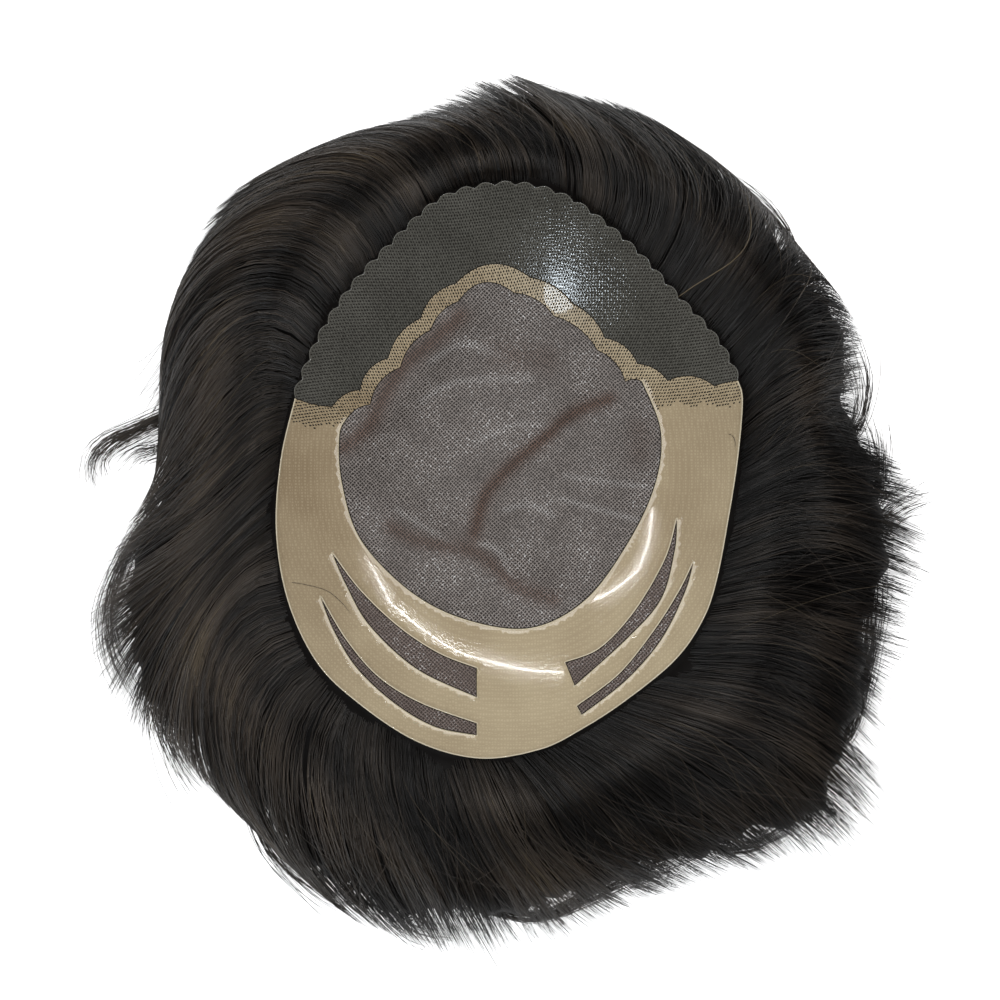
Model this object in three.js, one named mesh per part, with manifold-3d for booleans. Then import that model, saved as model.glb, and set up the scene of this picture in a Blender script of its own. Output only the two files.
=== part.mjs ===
// A men's hairpiece, lying on its own hair with the bowl of its base open upwards.
// The front hairline is towards +Y, the nape towards -Y. All sizes are in millimetres.
import * as THREE from 'three';
import { mergeVertices } from 'three/addons/utils/BufferGeometryUtils.js';
import Module from 'manifold-3d';

// The base: a shallow bowl, as wide and long as its rim seen from above
const BASE_WIDTH = 185;
const BASE_LENGTH = 228;
const SIDE_RISE = 31;
const END_RISE = 41;
const BASE_WALL = 1.2;
const SEAM_GAP = 0.3;

// The scallops along the front hairline
const SCALLOP_COUNT = 31;
const SCALLOP_DEPTH = 1.7;

// The soft folds that stand up in the lace
const FOLD_HEIGHT = 3;
const FOLD_WIDTH = 8;

// The hair: how far it spreads beyond the rim, how thick it lies under the crown, and its locks.
// The hair knotted under the crown parts from the hair of the sides at a share of the spread.
const HAIR_SPREAD = 60;
const HAIR_UNDER_CROWN = 16;
const HAIR_BELOW_RIM = 3;
const HAIR_EDGE_HEIGHT = 7;
const HAIR_GAP = 0.5;
const HAIR_PARTING_REACH = -0.04;
const LOCK_COUNT = 28;
const LOCK_WIDTH = 32;
const LOCK_THICKNESS = 11;
const UNDERLOCK_COUNT = 16;
const UNDERLOCK_WIDTH = 40;
const UNDERLOCK_THICKNESS = 13;
const WISP_WIDTH = 13;
const WISP_THICKNESS = 7;

// How finely the curved walls are faceted
const BOWL_CELL = 16;
const LACE_CELL = 10;
const LINE_STEP = 8;

const HALF_WIDTH = BASE_WIDTH / 2;
const HALF_LENGTH = BASE_LENGTH / 2;

// The rim from the right temple round the nape to the left temple.
// across is a share of the half width, along a share of the half length.
const RIM_BACK = [
  { across: 0.98, along: 0.31 },
  { across: 1.00, along: 0.24 },
  { across: 0.98, along: 0.04 },
  { across: 0.94, along: -0.17 },
  { across: 0.89, along: -0.38 },
  { across: 0.83, along: -0.52 },
  { across: 0.71, along: -0.66 },
  { across: 0.50, along: -0.80 },
  { across: 0.31, along: -0.90 },
  { across: 0.13, along: -0.97 },
  { across: -0.13, along: -1.00 },
  { across: -0.40, along: -0.94 },
  { across: -0.66, along: -0.80 },
  { across: -0.83, along: -0.66 },
  { across: -0.95, along: -0.45 },
  { across: -1.00, along: -0.21 },
  { across: -0.98, along: 0.04 },
  { across: -0.92, along: 0.25 },
];

// The line that the hollows between the scallops lie on, from the left temple to the right one
const RIM_FRONT = [
  { across: -0.92, along: 0.25 },
  { across: -0.82, along: 0.45 },
  { across: -0.68, along: 0.63 },
  { across: -0.51, along: 0.78 },
  { across: -0.31, along: 0.93 },
  { across: -0.14, along: 0.98 },
  { across: 0.03, along: 0.99 },
  { across: 0.20, along: 0.96 },
  { across: 0.35, along: 0.89 },
  { across: 0.54, along: 0.76 },
  { across: 0.72, along: 0.60 },
  { across: 0.89, along: 0.45 },
  { across: 0.98, along: 0.31 },
];

// The points between the lobes where the poly strip meets the front skin, from left to right.
// bulge is how far the lobe after the point stands out, as a share of its chord.
const STRIP_LOBES = [
  { across: -0.92, along: 0.25, bulge: -0.05 },
  { across: -0.76, along: 0.22, bulge: 0.12 },
  { across: -0.64, along: 0.28, bulge: 0.16 },
  { across: -0.52, along: 0.39, bulge: 0.12 },
  { across: -0.38, along: 0.53, bulge: 0.14 },
  { across: -0.23, along: 0.65, bulge: 0.22 },
  { across: 0.09, along: 0.67, bulge: 0.10 },
  { across: 0.27, along: 0.58, bulge: 0.10 },
  { across: 0.41, along: 0.46, bulge: 0.14 },
  { across: 0.55, along: 0.37, bulge: 0.12 },
  { across: 0.68, along: 0.31, bulge: 0.16 },
  { across: 0.88, along: 0.29, bulge: 0.05 },
  { across: 0.98, along: 0.31, bulge: 0 },
];

// The same points along the front edge of the lace
const LACE_LOBES = [
  { across: -0.70, along: 0.18, bulge: 0.12 },
  { across: -0.60, along: 0.23, bulge: 0.14 },
  { across: -0.47, along: 0.36, bulge: 0.12 },
  { across: -0.34, along: 0.49, bulge: 0.12 },
  { across: -0.22, along: 0.59, bulge: 0.26 },
  { across: 0.02, along: 0.62, bulge: 0.12 },
  { across: 0.19, along: 0.54, bulge: 0.10 },
  { across: 0.38, along: 0.42, bulge: 0.12 },
  { across: 0.50, along: 0.31, bulge: 0.16 },
  { across: 0.57, along: 0.31, bulge: 0 },
];

// The smooth edge of the lace round the sides and back, from right to left
const LACE_BACK = [
  { across: 0.57, along: 0.31 },
  { across: 0.65, along: 0.14 },
  { across: 0.63, along: -0.04 },
  { across: 0.52, along: -0.24 },
  { across: 0.33, along: -0.45 },
  { across: 0.09, along: -0.55 },
  { across: -0.19, along: -0.52 },
  { across: -0.43, along: -0.42 },
  { across: -0.64, along: -0.24 },
  { across: -0.72, along: -0.04 },
  { across: -0.73, along: 0.12 },
  { across: -0.70, along: 0.18 },
];

// The four crescent slots cut through the poly: tip, long outer and inner edges, each to the square end
const SLOTS = [
  {
    name: 'inner_left_window',
    tip: { across: -0.76, along: -0.29 },
    outer: [
      { across: -0.70, along: -0.40 },
      { across: -0.60, along: -0.54 },
      { across: -0.40, along: -0.69 },
      { across: -0.14, along: -0.79 },
    ],
    inner: [
      { across: -0.64, along: -0.42 },
      { across: -0.47, along: -0.55 },
      { across: -0.30, along: -0.64 },
      { across: -0.14, along: -0.69 },
    ],
  },
  {
    name: 'outer_left_window',
    tip: { across: -0.81, along: -0.44 },
    outer: [
      { across: -0.75, along: -0.56 },
      { across: -0.65, along: -0.69 },
      { across: -0.49, along: -0.81 },
      { across: -0.32, along: -0.89 },
      { across: -0.14, along: -0.92 },
    ],
    inner: [
      { across: -0.70, along: -0.59 },
      { across: -0.56, along: -0.72 },
      { across: -0.38, along: -0.81 },
      { across: -0.14, along: -0.88 },
    ],
  },
  {
    name: 'inner_right_window',
    tip: { across: 0.72, along: -0.17 },
    outer: [
      { across: 0.71, along: -0.28 },
      { across: 0.65, along: -0.45 },
      { across: 0.50, along: -0.59 },
      { across: 0.28, along: -0.75 },
    ],
    inner: [
      { across: 0.67, along: -0.31 },
      { across: 0.54, along: -0.49 },
      { across: 0.39, along: -0.62 },
      { across: 0.24, along: -0.67 },
    ],
  },
  {
    name: 'outer_right_window',
    tip: { across: 0.79, along: -0.32 },
    outer: [
      { across: 0.75, along: -0.43 },
      { across: 0.65, along: -0.59 },
      { across: 0.50, along: -0.73 },
      { across: 0.31, along: -0.85 },
    ],
    inner: [
      { across: 0.73, along: -0.42 },
      { across: 0.62, along: -0.56 },
      { across: 0.47, along: -0.71 },
      { across: 0.29, along: -0.82 },
    ],
  },
];

// The folds of the lace: both ends of each ridge, its height as a share of FOLD_HEIGHT
const FOLDS = [
  { from: { across: -0.22, along: 0.52 }, to: { across: -0.64, along: 0.10 }, height: 0.7 },
  { from: { across: 0.40, along: 0.26 }, to: { across: -0.12, along: -0.20 }, height: 1 },
  { from: { across: -0.50, along: -0.18 }, to: { across: 0.16, along: -0.44 }, height: 0.9 },
];

// The flow of the hair round the rim. at is the angle of a root in degrees, from the right, anticlockwise.
// spread is the outline's distance from the rim there, as a share of HAIR_SPREAD. A lock from that root
// passes three places: it has turned by turns degrees and come out by reach, a share of the spread there.
const FLOW = [
  { at: 0, spread: 1.00, turns: [6, 7, 4], reach: [0.28, 0.66, 0.98] },
  { at: 20, spread: 0.79, turns: [3, 4, 1], reach: [0.42, 0.85, 1.02] },
  { at: 40, spread: 0.82, turns: [0, 4, 12], reach: [0.60, 0.93, 0.98] },
  { at: 60, spread: 0.77, turns: [4, 10, 17], reach: [0.53, 0.88, 1.00] },
  { at: 80, spread: 0.70, turns: [4, 9, 14], reach: [0.48, 0.84, 1.00] },
  { at: 100, spread: 0.56, turns: [1, 6, 12], reach: [0.60, 0.97, 1.00] },
  { at: 120, spread: 0.77, turns: [1, 10, 20], reach: [0.63, 0.96, 1.00] },
  { at: 140, spread: 1.00, turns: [0, 9, 20], reach: [0.52, 0.88, 0.98] },
  { at: 160, spread: 1.02, turns: [2, 11, 19], reach: [0.42, 0.70, 0.92] },
  { at: 180, spread: 0.95, turns: [8, 13, 16], reach: [0.38, 0.72, 1.00] },
  { at: 200, spread: 1.20, turns: [3, 9, 15], reach: [0.40, 0.79, 1.02] },
  { at: 220, spread: 1.08, turns: [1, 11, 24], reach: [0.65, 0.95, 0.98] },
  { at: 240, spread: 1.12, turns: [12, 18, 22], reach: [0.45, 0.75, 0.98] },
  { at: 260, spread: 1.15, turns: [14, 19, 21], reach: [0.43, 0.79, 0.98] },
  { at: 280, spread: 1.13, turns: [16, 20, 22], reach: [0.54, 0.90, 0.99] },
  { at: 300, spread: 1.10, turns: [13, 15, 15], reach: [0.38, 0.80, 0.98] },
  { at: 320, spread: 1.33, turns: [9, 12, 11], reach: [0.36, 0.71, 0.97] },
  { at: 340, spread: 1.20, turns: [10, 13, 9], reach: [0.21, 0.55, 0.98] },
];

// The wisps that leave the outline, by the angle of their root, with the same turns and reach
const WISPS = [
  { at: 160, turns: [8, 14, 18], reach: [0.45, 0.85, 1.30] },
  { at: 172, turns: [8, 16, 22], reach: [0.45, 0.85, 1.10] },
  { at: 68, turns: [6, 15, 23], reach: [0.55, 1.05, 1.25] },
  { at: 340, turns: [10, 15, 15], reach: [0.35, 0.80, 1.22] },
  { at: 328, turns: [12, 18, 19], reach: [0.35, 0.75, 1.12] },
  { at: 262, turns: [14, 22, 27], reach: [0.45, 0.90, 1.05] },
];

const wasm = await Module();
wasm.setup();

const toRadians = THREE.MathUtils.degToRad;

// From shares of the base's half sizes to millimetres
function onBase({ across, along }) {
  return new THREE.Vector2(across * HALF_WIDTH, along * HALF_LENGTH);
}

// A smooth line through a table's points, in steps of equal length
function smoothLine(rows, steps) {
  const line = new THREE.SplineCurve(rows.map(onBase));
  return line.getSpacedPoints(steps ?? Math.round(line.getLength() / LINE_STEP));
}

// The points of a chain of round lobes, each standing out to the left of its chord, without the last corner
function lobedLine(corners, bulges, steps) {
  const line = [];
  for (let i = 0; i + 1 < corners.length; i += 1) {
    const chord = corners[i + 1].clone().sub(corners[i]);
    const outwards = new THREE.Vector2(-chord.y, chord.x);
    for (let k = 0; k < steps; k += 1) {
      const share = k / steps;
      const rise = 4 * share * (1 - share) * bulges[i];
      line.push(corners[i].clone().addScaledVector(chord, share).addScaledVector(outwards, rise));
    }
  }
  return line;
}

function lobesOf(rows, steps) {
  const line = lobedLine(rows.map(onBase), rows.map((row) => row.bulge), steps);
  return [...line, onBase(rows[rows.length - 1])];
}

// The scalloped hairline, from the left temple to the right one
function scallopedHairline() {
  const corners = smoothLine(RIM_FRONT, SCALLOP_COUNT);
  const bulges = corners.map((corner, i) => {
    const next = corners[Math.min(i + 1, corners.length - 1)];
    return SCALLOP_DEPTH / Math.max(corner.distanceTo(next), SCALLOP_DEPTH);
  });
  return [...lobedLine(corners, bulges, 3), corners[corners.length - 1]];
}

// An outline moved inwards by a distance, or outwards where the distance is negative
function inset(outline, distance) {
  const sense = THREE.ShapeUtils.isClockWise(outline) ? -1 : 1;
  const last = outline.length - 1;
  return outline.map((point, i) => {
    const before = point.clone().sub(outline[i === 0 ? last : i - 1]).normalize();
    const after = outline[i === last ? 0 : i + 1].clone().sub(point).normalize();
    const bisector = new THREE.Vector2(-before.y - after.y, before.x + after.x).normalize();
    const cosine = Math.max(bisector.x * -before.y + bisector.y * before.x, 0.15);
    return point.clone().addScaledVector(bisector, (sense * distance) / cosine);
  });
}

// Height of the bowl's inner face above its crown
function bowlHeight(x, y) {
  return SIDE_RISE * (x / HALF_WIDTH) ** 2 + END_RISE * (y / HALF_LENGTH) ** 2;
}

// How high the folds stand in the lace, fading out towards its edge
function foldHeight(x, y) {
  const point = new THREE.Vector3(x, y, 0);
  const nearest = new THREE.Vector3();
  return FOLDS.reduce((sum, fold) => {
    const from = onBase(fold.from);
    const to = onBase(fold.to);
    const ridge = new THREE.Line3(new THREE.Vector3(from.x, from.y, 0), new THREE.Vector3(to.x, to.y, 0));
    ridge.closestPointToPoint(point, true, nearest);
    const away = nearest.distanceTo(point) / FOLD_WIDTH;
    return sum + FOLD_HEIGHT * fold.height * Math.exp(-away * away);
  }, 0);
}

// A closed geometry from rows of points; each row is as long as the next, and rows run round the body
function skin(rows, wrapRows) {
  const columns = rows[0].length;
  const positions = rows.flat().flatMap((point) => [point.x, point.y, point.z]);
  const index = [];
  const rowSteps = wrapRows ? rows.length : rows.length - 1;
  for (let i = 0; i < rowSteps; i += 1) {
    const next = (i + 1) % rows.length;
    for (let j = 0; j < columns; j += 1) {
      const beside = (j + 1) % columns;
      const corners = [i * columns + j, i * columns + beside, next * columns + beside, next * columns + j];
      index.push(corners[0], corners[1], corners[2], corners[0], corners[2], corners[3]);
    }
  }
  const geometry = new THREE.BufferGeometry();
  geometry.setAttribute('position', new THREE.Float32BufferAttribute(positions, 3));
  geometry.setIndex(index);
  return geometry;
}

// Triangles whose corners have grown together are dropped, and shared corners are merged
function merged(geometry) {
  const plain = geometry.clone();
  plain.deleteAttribute('normal');
  plain.deleteAttribute('uv');
  const joined = mergeVertices(plain, 1e-4);
  const old = joined.index.array;
  const index = [];
  for (let i = 0; i < old.length; i += 3) {
    const [a, b, c] = [old[i], old[i + 1], old[i + 2]];
    if (a !== b && b !== c && c !== a) {
      index.push(a, b, c);
    }
  }
  joined.setIndex(index);
  return joined;
}

function toSolid(geometry) {
  const joined = merged(geometry);
  return new wasm.Manifold(new wasm.Mesh({
    numProp: 3,
    vertProperties: new Float32Array(joined.attributes.position.array),
    triVerts: new Uint32Array(joined.index.array),
  }));
}

function toGeometry(solid) {
  const mesh = solid.getMesh();
  const geometry = new THREE.BufferGeometry();
  geometry.setAttribute('position', new THREE.BufferAttribute(mesh.vertProperties.slice(), 3));
  geometry.setIndex(new THREE.BufferAttribute(mesh.triVerts.slice(), 1));
  return geometry;
}

// A slab over the whole base between two heights, faceted in square cells
function slab(lower, upper, cell) {
  const reachX = HALF_WIDTH + cell;
  const reachY = HALF_LENGTH + cell;
  const across = Math.ceil((2 * reachX) / cell);
  const along = Math.ceil((2 * reachY) / cell);
  const rows = [];
  for (let i = 0; i <= along; i += 1) {
    const y = reachY * (1 - (2 * i) / along);
    const under = [];
    const over = [];
    for (let j = 0; j <= across; j += 1) {
      const x = reachX * ((2 * j) / across - 1);
      under.push(new THREE.Vector3(x, y, lower(x, y)));
      over.unshift(new THREE.Vector3(x, y, upper(x, y)));
    }
    rows.push([...under, ...over]);
  }
  const pressedFlat = (row) => row.map((point, k) => point.clone().lerp(row[row.length - 1 - k], 0.5));
  return toSolid(skin([pressedFlat(rows[0]), ...rows, pressedFlat(rows[along])], false));
}

// An upright prism over an outline, taller than the whole hairpiece
function prism(outline) {
  const height = 4 * (SIDE_RISE + END_RISE);
  const geometry = new THREE.ExtrudeGeometry(new THREE.Shape(outline), { depth: height, bevelEnabled: false });
  return toSolid(geometry.translate(0, 0, -height / 2));
}

const hairline = scallopedHairline();
const rimBack = smoothLine(RIM_BACK);
const stripLine = lobesOf(STRIP_LOBES, 4);
const laceFront = lobesOf(LACE_LOBES, 4);
const laceBack = smoothLine(LACE_BACK);

const rimOutline = [...hairline.slice(1), ...rimBack.slice(1)];
const ringOutline = [...stripLine.slice(1), ...rimBack.slice(1)];
const frontOutline = [...hairline.slice(1), ...stripLine.slice(0, -1).reverse()];
const laceOutline = [...laceFront.slice(1), ...laceBack.slice(1)];

function slotOutline({ tip, outer, inner }) {
  const outerEdge = smoothLine([tip, ...outer]);
  const innerEdge = smoothLine([tip, ...inner]).slice(1).reverse();
  return [...outerEdge, ...innerEdge];
}

// The base's heights are measured from the surface that the hair lies on
const crownHeight = HAIR_UNDER_CROWN + BASE_WALL;
const innerFace = (x, y) => crownHeight + bowlHeight(x, y);
const outerFace = (x, y) => innerFace(x, y) - BASE_WALL;
const laceInnerFace = (x, y) => innerFace(x, y) + foldHeight(x, y);
const laceOuterFace = (x, y) => laceInnerFace(x, y) - BASE_WALL;

const bowlWall = slab(outerFace, innerFace, BOWL_CELL);
const laceWall = slab(laceOuterFace, laceInnerFace, LACE_CELL);

function frontSkin() {
  return bowlWall.intersect(prism(inset(frontOutline, SEAM_GAP)));
}

function polyRing() {
  const cuts = [laceOutline, ...SLOTS.map(slotOutline)];
  return cuts.reduce((wall, cut) => wall.subtract(prism(cut)), bowlWall.intersect(prism(ringOutline)));
}

function lacePanel() {
  return laceWall.intersect(prism(inset(laceOutline, SEAM_GAP)));
}

function slotWindow(slot) {
  return bowlWall.intersect(prism(inset(slotOutline(slot), SEAM_GAP)));
}

// The row of the flow at any angle round the rim, blended smoothly between the table's rows
function flowAt(angle) {
  const step = 360 / FLOW.length;
  const place = THREE.MathUtils.euclideanModulo(angle, 360) / step;
  const first = Math.floor(place);
  const near = [-1, 0, 1, 2].map((k) => FLOW[(first + k + FLOW.length) % FLOW.length]);
  const share = place - first;
  const blend = (pick) => {
    const [a, b, c, d] = near.map(pick);
    const bend = 2 * a - 5 * b + 4 * c - d + share * (3 * (b - c) + d - a);
    return b + 0.5 * share * (c - a + share * bend);
  };
  return {
    spread: blend((row) => row.spread),
    turns: [0, 1, 2].map((k) => blend((row) => row.turns[k])),
    reach: [0, 1, 2].map((k) => blend((row) => row.reach[k])),
  };
}

// The rim's distance from the centre along an angle, as a share of the base's half sizes
const rimShares = rimOutline.map((point) => {
  const share = new THREE.Vector2(point.x / HALF_WIDTH, point.y / HALF_LENGTH);
  return { angle: THREE.MathUtils.radToDeg(share.angle()), length: share.length() };
}).sort((a, b) => a.angle - b.angle);

function rimShareAt(angle) {
  const wanted = THREE.MathUtils.euclideanModulo(angle, 360);
  const found = rimShares.findIndex((share) => share.angle > wanted);
  const after = rimShares[found < 0 ? 0 : found];
  const before = rimShares[(found < 0 ? rimShares.length : found || rimShares.length) - 1];
  const span = THREE.MathUtils.euclideanModulo(after.angle - before.angle, 360);
  const share = THREE.MathUtils.euclideanModulo(wanted - before.angle, 360) / span;
  return THREE.MathUtils.lerp(before.length, after.length, share);
}

// A place in the hair seen from above: out by a share of the spread from the rim at an angle
function hairPlan(angle, reach) {
  const turn = toRadians(angle);
  const ray = new THREE.Vector2(HALF_WIDTH * Math.cos(turn), HALF_LENGTH * Math.sin(turn));
  const rim = ray.clone().multiplyScalar(rimShareAt(angle));
  return rim.addScaledVector(ray.normalize(), reach * HAIR_SPREAD * flowAt(angle).spread);
}

// Height of the hair's rolled top: level just outside the rim, then down to the thin outer edge
function hairTop(angle, reach) {
  const rim = hairPlan(angle, 0);
  const crest = innerFace(rim.x, rim.y) - HAIR_BELOW_RIM;
  const outwards = THREE.MathUtils.clamp((reach - 0.15) / 0.9, 0, 1);
  return HAIR_EDGE_HEIGHT + (crest - HAIR_EDGE_HEIGHT) * Math.sqrt(1 - outwards ** 2.2);
}

// The mass of hair that backs the locks: a round pile with a flat bottom
function hairBacking() {
  const rounds = 36;
  const shape = [
    { reach: 0.05, height: 0.94 },
    { reach: 0.30, height: 0.90 },
    { reach: 0.55, height: 0.84 },
    { reach: 0.72, height: 0.70 },
    { reach: 0.80, height: 0.40 },
    { reach: 0.78, height: 0.12 },
    { reach: 0.70, height: 0 },
  ];
  const rows = [];
  for (let i = 0; i < rounds; i += 1) {
    const angle = (360 * i) / rounds;
    const ring = shape.map(({ reach, height }) => {
      const place = hairPlan(angle, reach);
      return new THREE.Vector3(place.x, place.y, height * hairTop(angle, reach));
    });
    const top = new THREE.Vector3(0, 0, ring[0].z);
    rows.push([top, ...ring, new THREE.Vector3()]);
  }
  return toSolid(skin(rows, true));
}

// One lock: a flat tapered roll of hair along its path, closed at both ends
function lock(path, width, thickness) {
  const stations = 5;
  const sides = 6;
  const up = new THREE.Vector3(0, 0, 1);
  const curve = new THREE.CatmullRomCurve3(path);
  const rows = [];
  for (let i = 0; i <= stations; i += 1) {
    const share = i / stations;
    const centre = curve.getPoint(share);
    const tangent = curve.getTangent(share);
    const sideways = new THREE.Vector3().crossVectors(up, tangent).normalize();
    const upright = new THREE.Vector3().crossVectors(tangent, sideways);
    const swell = Math.sin(Math.PI * (0.16 + 0.8 * share)) ** 0.8;
    const ring = [];
    for (let k = 0; k < sides; k += 1) {
      const turn = (2 * Math.PI * k) / sides;
      ring.push(centre.clone()
        .addScaledVector(sideways, 0.5 * width * swell * Math.cos(turn))
        .addScaledVector(upright, 0.5 * thickness * swell * Math.sin(turn)));
    }
    rows.push(ring);
  }
  const pointed = (share) => Array.from({ length: sides }, () => curve.getPoint(share));
  return toSolid(skin([pointed(0), ...rows, pointed(1)], false));
}

// The path of a lock of the lower layer, which comes out of the pile and lies on the surface
function underlockPath(root, turns) {
  const places = [
    { angle: root, reach: 0.30, height: 1.6 },
    { angle: root + turns[0], reach: 0.62, height: 1.2 },
    { angle: root + turns[1], reach: 0.84, height: 0.7 },
    { angle: root + turns[2], reach: 0.97, height: 0.4 },
  ];
  return places.map(({ angle, reach, height }) => {
    const plan = hairPlan(angle, reach);
    return new THREE.Vector3(plan.x, plan.y, height * UNDERLOCK_THICKNESS);
  });
}

// The path of a lock, rooted under the rim, a little above or below its neighbours.
// sink and lift are heights below and above the rolled top, as shares of the lock's thickness.
function lockPath(root, turns, reach, lift) {
  const places = [
    { angle: root, reach: -0.12, sink: 0.82 },
    { angle: root + 0.2 * turns[0], reach: 0.08, sink: 0.27 },
    ...turns.map((turn, k) => ({ angle: root + turn, reach: reach[k], sink: 0.18 })),
  ];
  return places.map((place) => {
    const plan = hairPlan(place.angle, place.reach);
    const top = hairTop(place.angle, Math.max(place.reach, 0));
    const height = top + (lift - place.sink) * LOCK_THICKNESS;
    return new THREE.Vector3(plan.x, plan.y, Math.max(height, 0.3 * LOCK_THICKNESS));
  });
}

function hairLocks() {
  const locks = [];
  for (let i = 0; i < LOCK_COUNT; i += 1) {
    const root = (360 * i) / LOCK_COUNT;
    const { turns, reach } = flowAt(root);
    const overlap = i % 2 === 0 ? 1 : -1;
    const tips = reach.map((share) => share * (1 + 0.03 * overlap));
    locks.push(lock(lockPath(root, turns, tips, 0.09 * overlap), LOCK_WIDTH, LOCK_THICKNESS));
  }
  for (let i = 0; i < UNDERLOCK_COUNT; i += 1) {
    const root = (360 * (i + 0.5)) / UNDERLOCK_COUNT;
    const path = underlockPath(root, flowAt(root).turns);
    locks.push(lock(path, UNDERLOCK_WIDTH, UNDERLOCK_THICKNESS));
  }
  for (const wisp of WISPS) {
    locks.push(lock(lockPath(wisp.at, wisp.turns, wisp.reach, 0), WISP_WIDTH, WISP_THICKNESS));
  }
  return locks;
}

// The space that the base and the head's hollow take, which the hair stays clear of
function hollow() {
  const ceiling = () => 4 * (SIDE_RISE + END_RISE);
  const floor = (x, y) => outerFace(x, y) - HAIR_GAP;
  return slab(floor, ceiling, BOWL_CELL).intersect(prism(inset(rimOutline, -HAIR_GAP)));
}

// Pockets that the locks close between them are filled, and crumbs cut off are dropped
function largestBody(solid) {
  return solid.decompose().reduce((largest, body) => (body.volume() > largest.volume() ? body : largest));
}

// The whole of the hair, above the surface and clear of the base
function allHair() {
  const spread = 8 * HAIR_SPREAD + BASE_LENGTH;
  const height = 4 * (SIDE_RISE + END_RISE);
  const aboveSurface = toSolid(new THREE.BoxGeometry(spread, spread, height).translate(0, 0, height / 2));
  const whole = hairLocks().reduce((sum, piece) => sum.add(piece), hairBacking());
  return largestBody(whole.intersect(aboveSurface).subtract(hollow()));
}

// A round line under the rim, where the hair of the crown meets the hair of the sides
function partingLine(outwards) {
  const corners = 30;
  return Array.from({ length: corners }, (_, i) => {
    const angle = (360 * i) / corners;
    const place = hairPlan(angle, HAIR_PARTING_REACH);
    return place.addScaledVector(place.clone().normalize(), outwards);
  });
}

function crownHair(whole) {
  return largestBody(whole.intersect(prism(partingLine(0))));
}

function sideHair(whole) {
  return largestBody(whole.subtract(prism(partingLine(SEAM_GAP))));
}

const skinMaterial = new THREE.MeshStandardMaterial({ color: 0x6b6f62, roughness: 0.3, metalness: 0 });
const polyMaterial = new THREE.MeshStandardMaterial({ color: 0xcdb98d, roughness: 0.3, metalness: 0 });
const laceMaterial = new THREE.MeshStandardMaterial({ color: 0x75665e, roughness: 0.8, metalness: 0 });
const hairMaterial = new THREE.MeshStandardMaterial({ color: 0x1f1a17, roughness: 0.4, metalness: 0 });

function piece(name, solid, material) {
  const mesh = new THREE.Mesh(toGeometry(solid), material);
  mesh.name = name;
  return mesh;
}

const hair = allHair();
const hairpiece = new THREE.Group();
hairpiece.add(
  piece('front_skin', frontSkin(), skinMaterial),
  piece('poly_ring', polyRing(), polyMaterial),
  piece('lace_panel', lacePanel(), laceMaterial),
  ...SLOTS.map((slot) => piece(slot.name, slotWindow(slot), laceMaterial)),
  piece('crown_hair', crownHair(hair), hairMaterial),
  piece('side_hair', sideHair(hair), hairMaterial),
);

// The origin is at the middle of the surface that the hair lies on
const bounds = new THREE.Box3().setFromObject(hairpiece);
const middle = bounds.getCenter(new THREE.Vector3());
hairpiece.position.set(-middle.x, -middle.y, -bounds.min.z);

export default hairpiece;
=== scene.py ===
import math

import bpy
import numpy as np
from mathutils import Matrix, Vector
from mathutils.geometry import delaunay_2d_cdt
from mathutils.kdtree import KDTree


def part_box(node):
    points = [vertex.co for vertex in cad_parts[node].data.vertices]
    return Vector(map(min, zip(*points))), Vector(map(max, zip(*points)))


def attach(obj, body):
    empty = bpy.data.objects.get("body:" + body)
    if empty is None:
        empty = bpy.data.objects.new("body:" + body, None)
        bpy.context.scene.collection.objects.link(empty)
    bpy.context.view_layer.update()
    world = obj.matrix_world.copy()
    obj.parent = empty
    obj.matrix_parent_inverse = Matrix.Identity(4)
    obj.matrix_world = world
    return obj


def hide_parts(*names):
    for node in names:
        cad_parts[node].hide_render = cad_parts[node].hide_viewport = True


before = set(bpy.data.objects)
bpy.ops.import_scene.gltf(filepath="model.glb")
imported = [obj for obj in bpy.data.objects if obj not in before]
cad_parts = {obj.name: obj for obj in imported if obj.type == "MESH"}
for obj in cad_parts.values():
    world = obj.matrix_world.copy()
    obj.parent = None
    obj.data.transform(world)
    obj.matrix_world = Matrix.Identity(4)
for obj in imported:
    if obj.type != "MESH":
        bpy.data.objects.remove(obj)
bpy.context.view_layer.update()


# The poly ring: the base's beige border, clear polyurethane cast over a fine net and left glossy.
# It is narrow and scalloped in front of the lace, wide at the temples and the nape, where it is taped,
# and four crescent slots let the lace through. Its edges are rolled into a thin pale bead.
HALF_WIDTH = 0.0925
HALF_LENGTH = 0.114
SIDE_RISE = 0.031
END_RISE = 0.041
HAIR_UNDER_CROWN = 0.016
CAD_WALL = 0.0012
FILM_WALL = 0.0005
FILM_CELL = 0.0020
LINE_STEP = 0.0010
BEAD_WIDTH = 0.0007
BEAD_HEIGHT = 0.00030
SEAM_GAP = 0.0003

ring_low, ring_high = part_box("poly_ring")
BASE_CENTRE = np.array([(ring_low.x + ring_high.x) / 2, ring_low.y + HALF_LENGTH])

# Shares of the base's half width and half length, from the right temple round the nape to the left one
RIM_BACK = [
    (0.98, 0.31), (1.00, 0.24), (0.98, 0.04), (0.94, -0.17), (0.89, -0.38), (0.83, -0.52),
    (0.71, -0.66), (0.50, -0.80), (0.31, -0.90), (0.13, -0.97), (-0.13, -1.00), (-0.40, -0.94),
    (-0.66, -0.80), (-0.83, -0.66), (-0.95, -0.45), (-1.00, -0.21), (-0.98, 0.04), (-0.92, 0.25),
]
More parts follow.
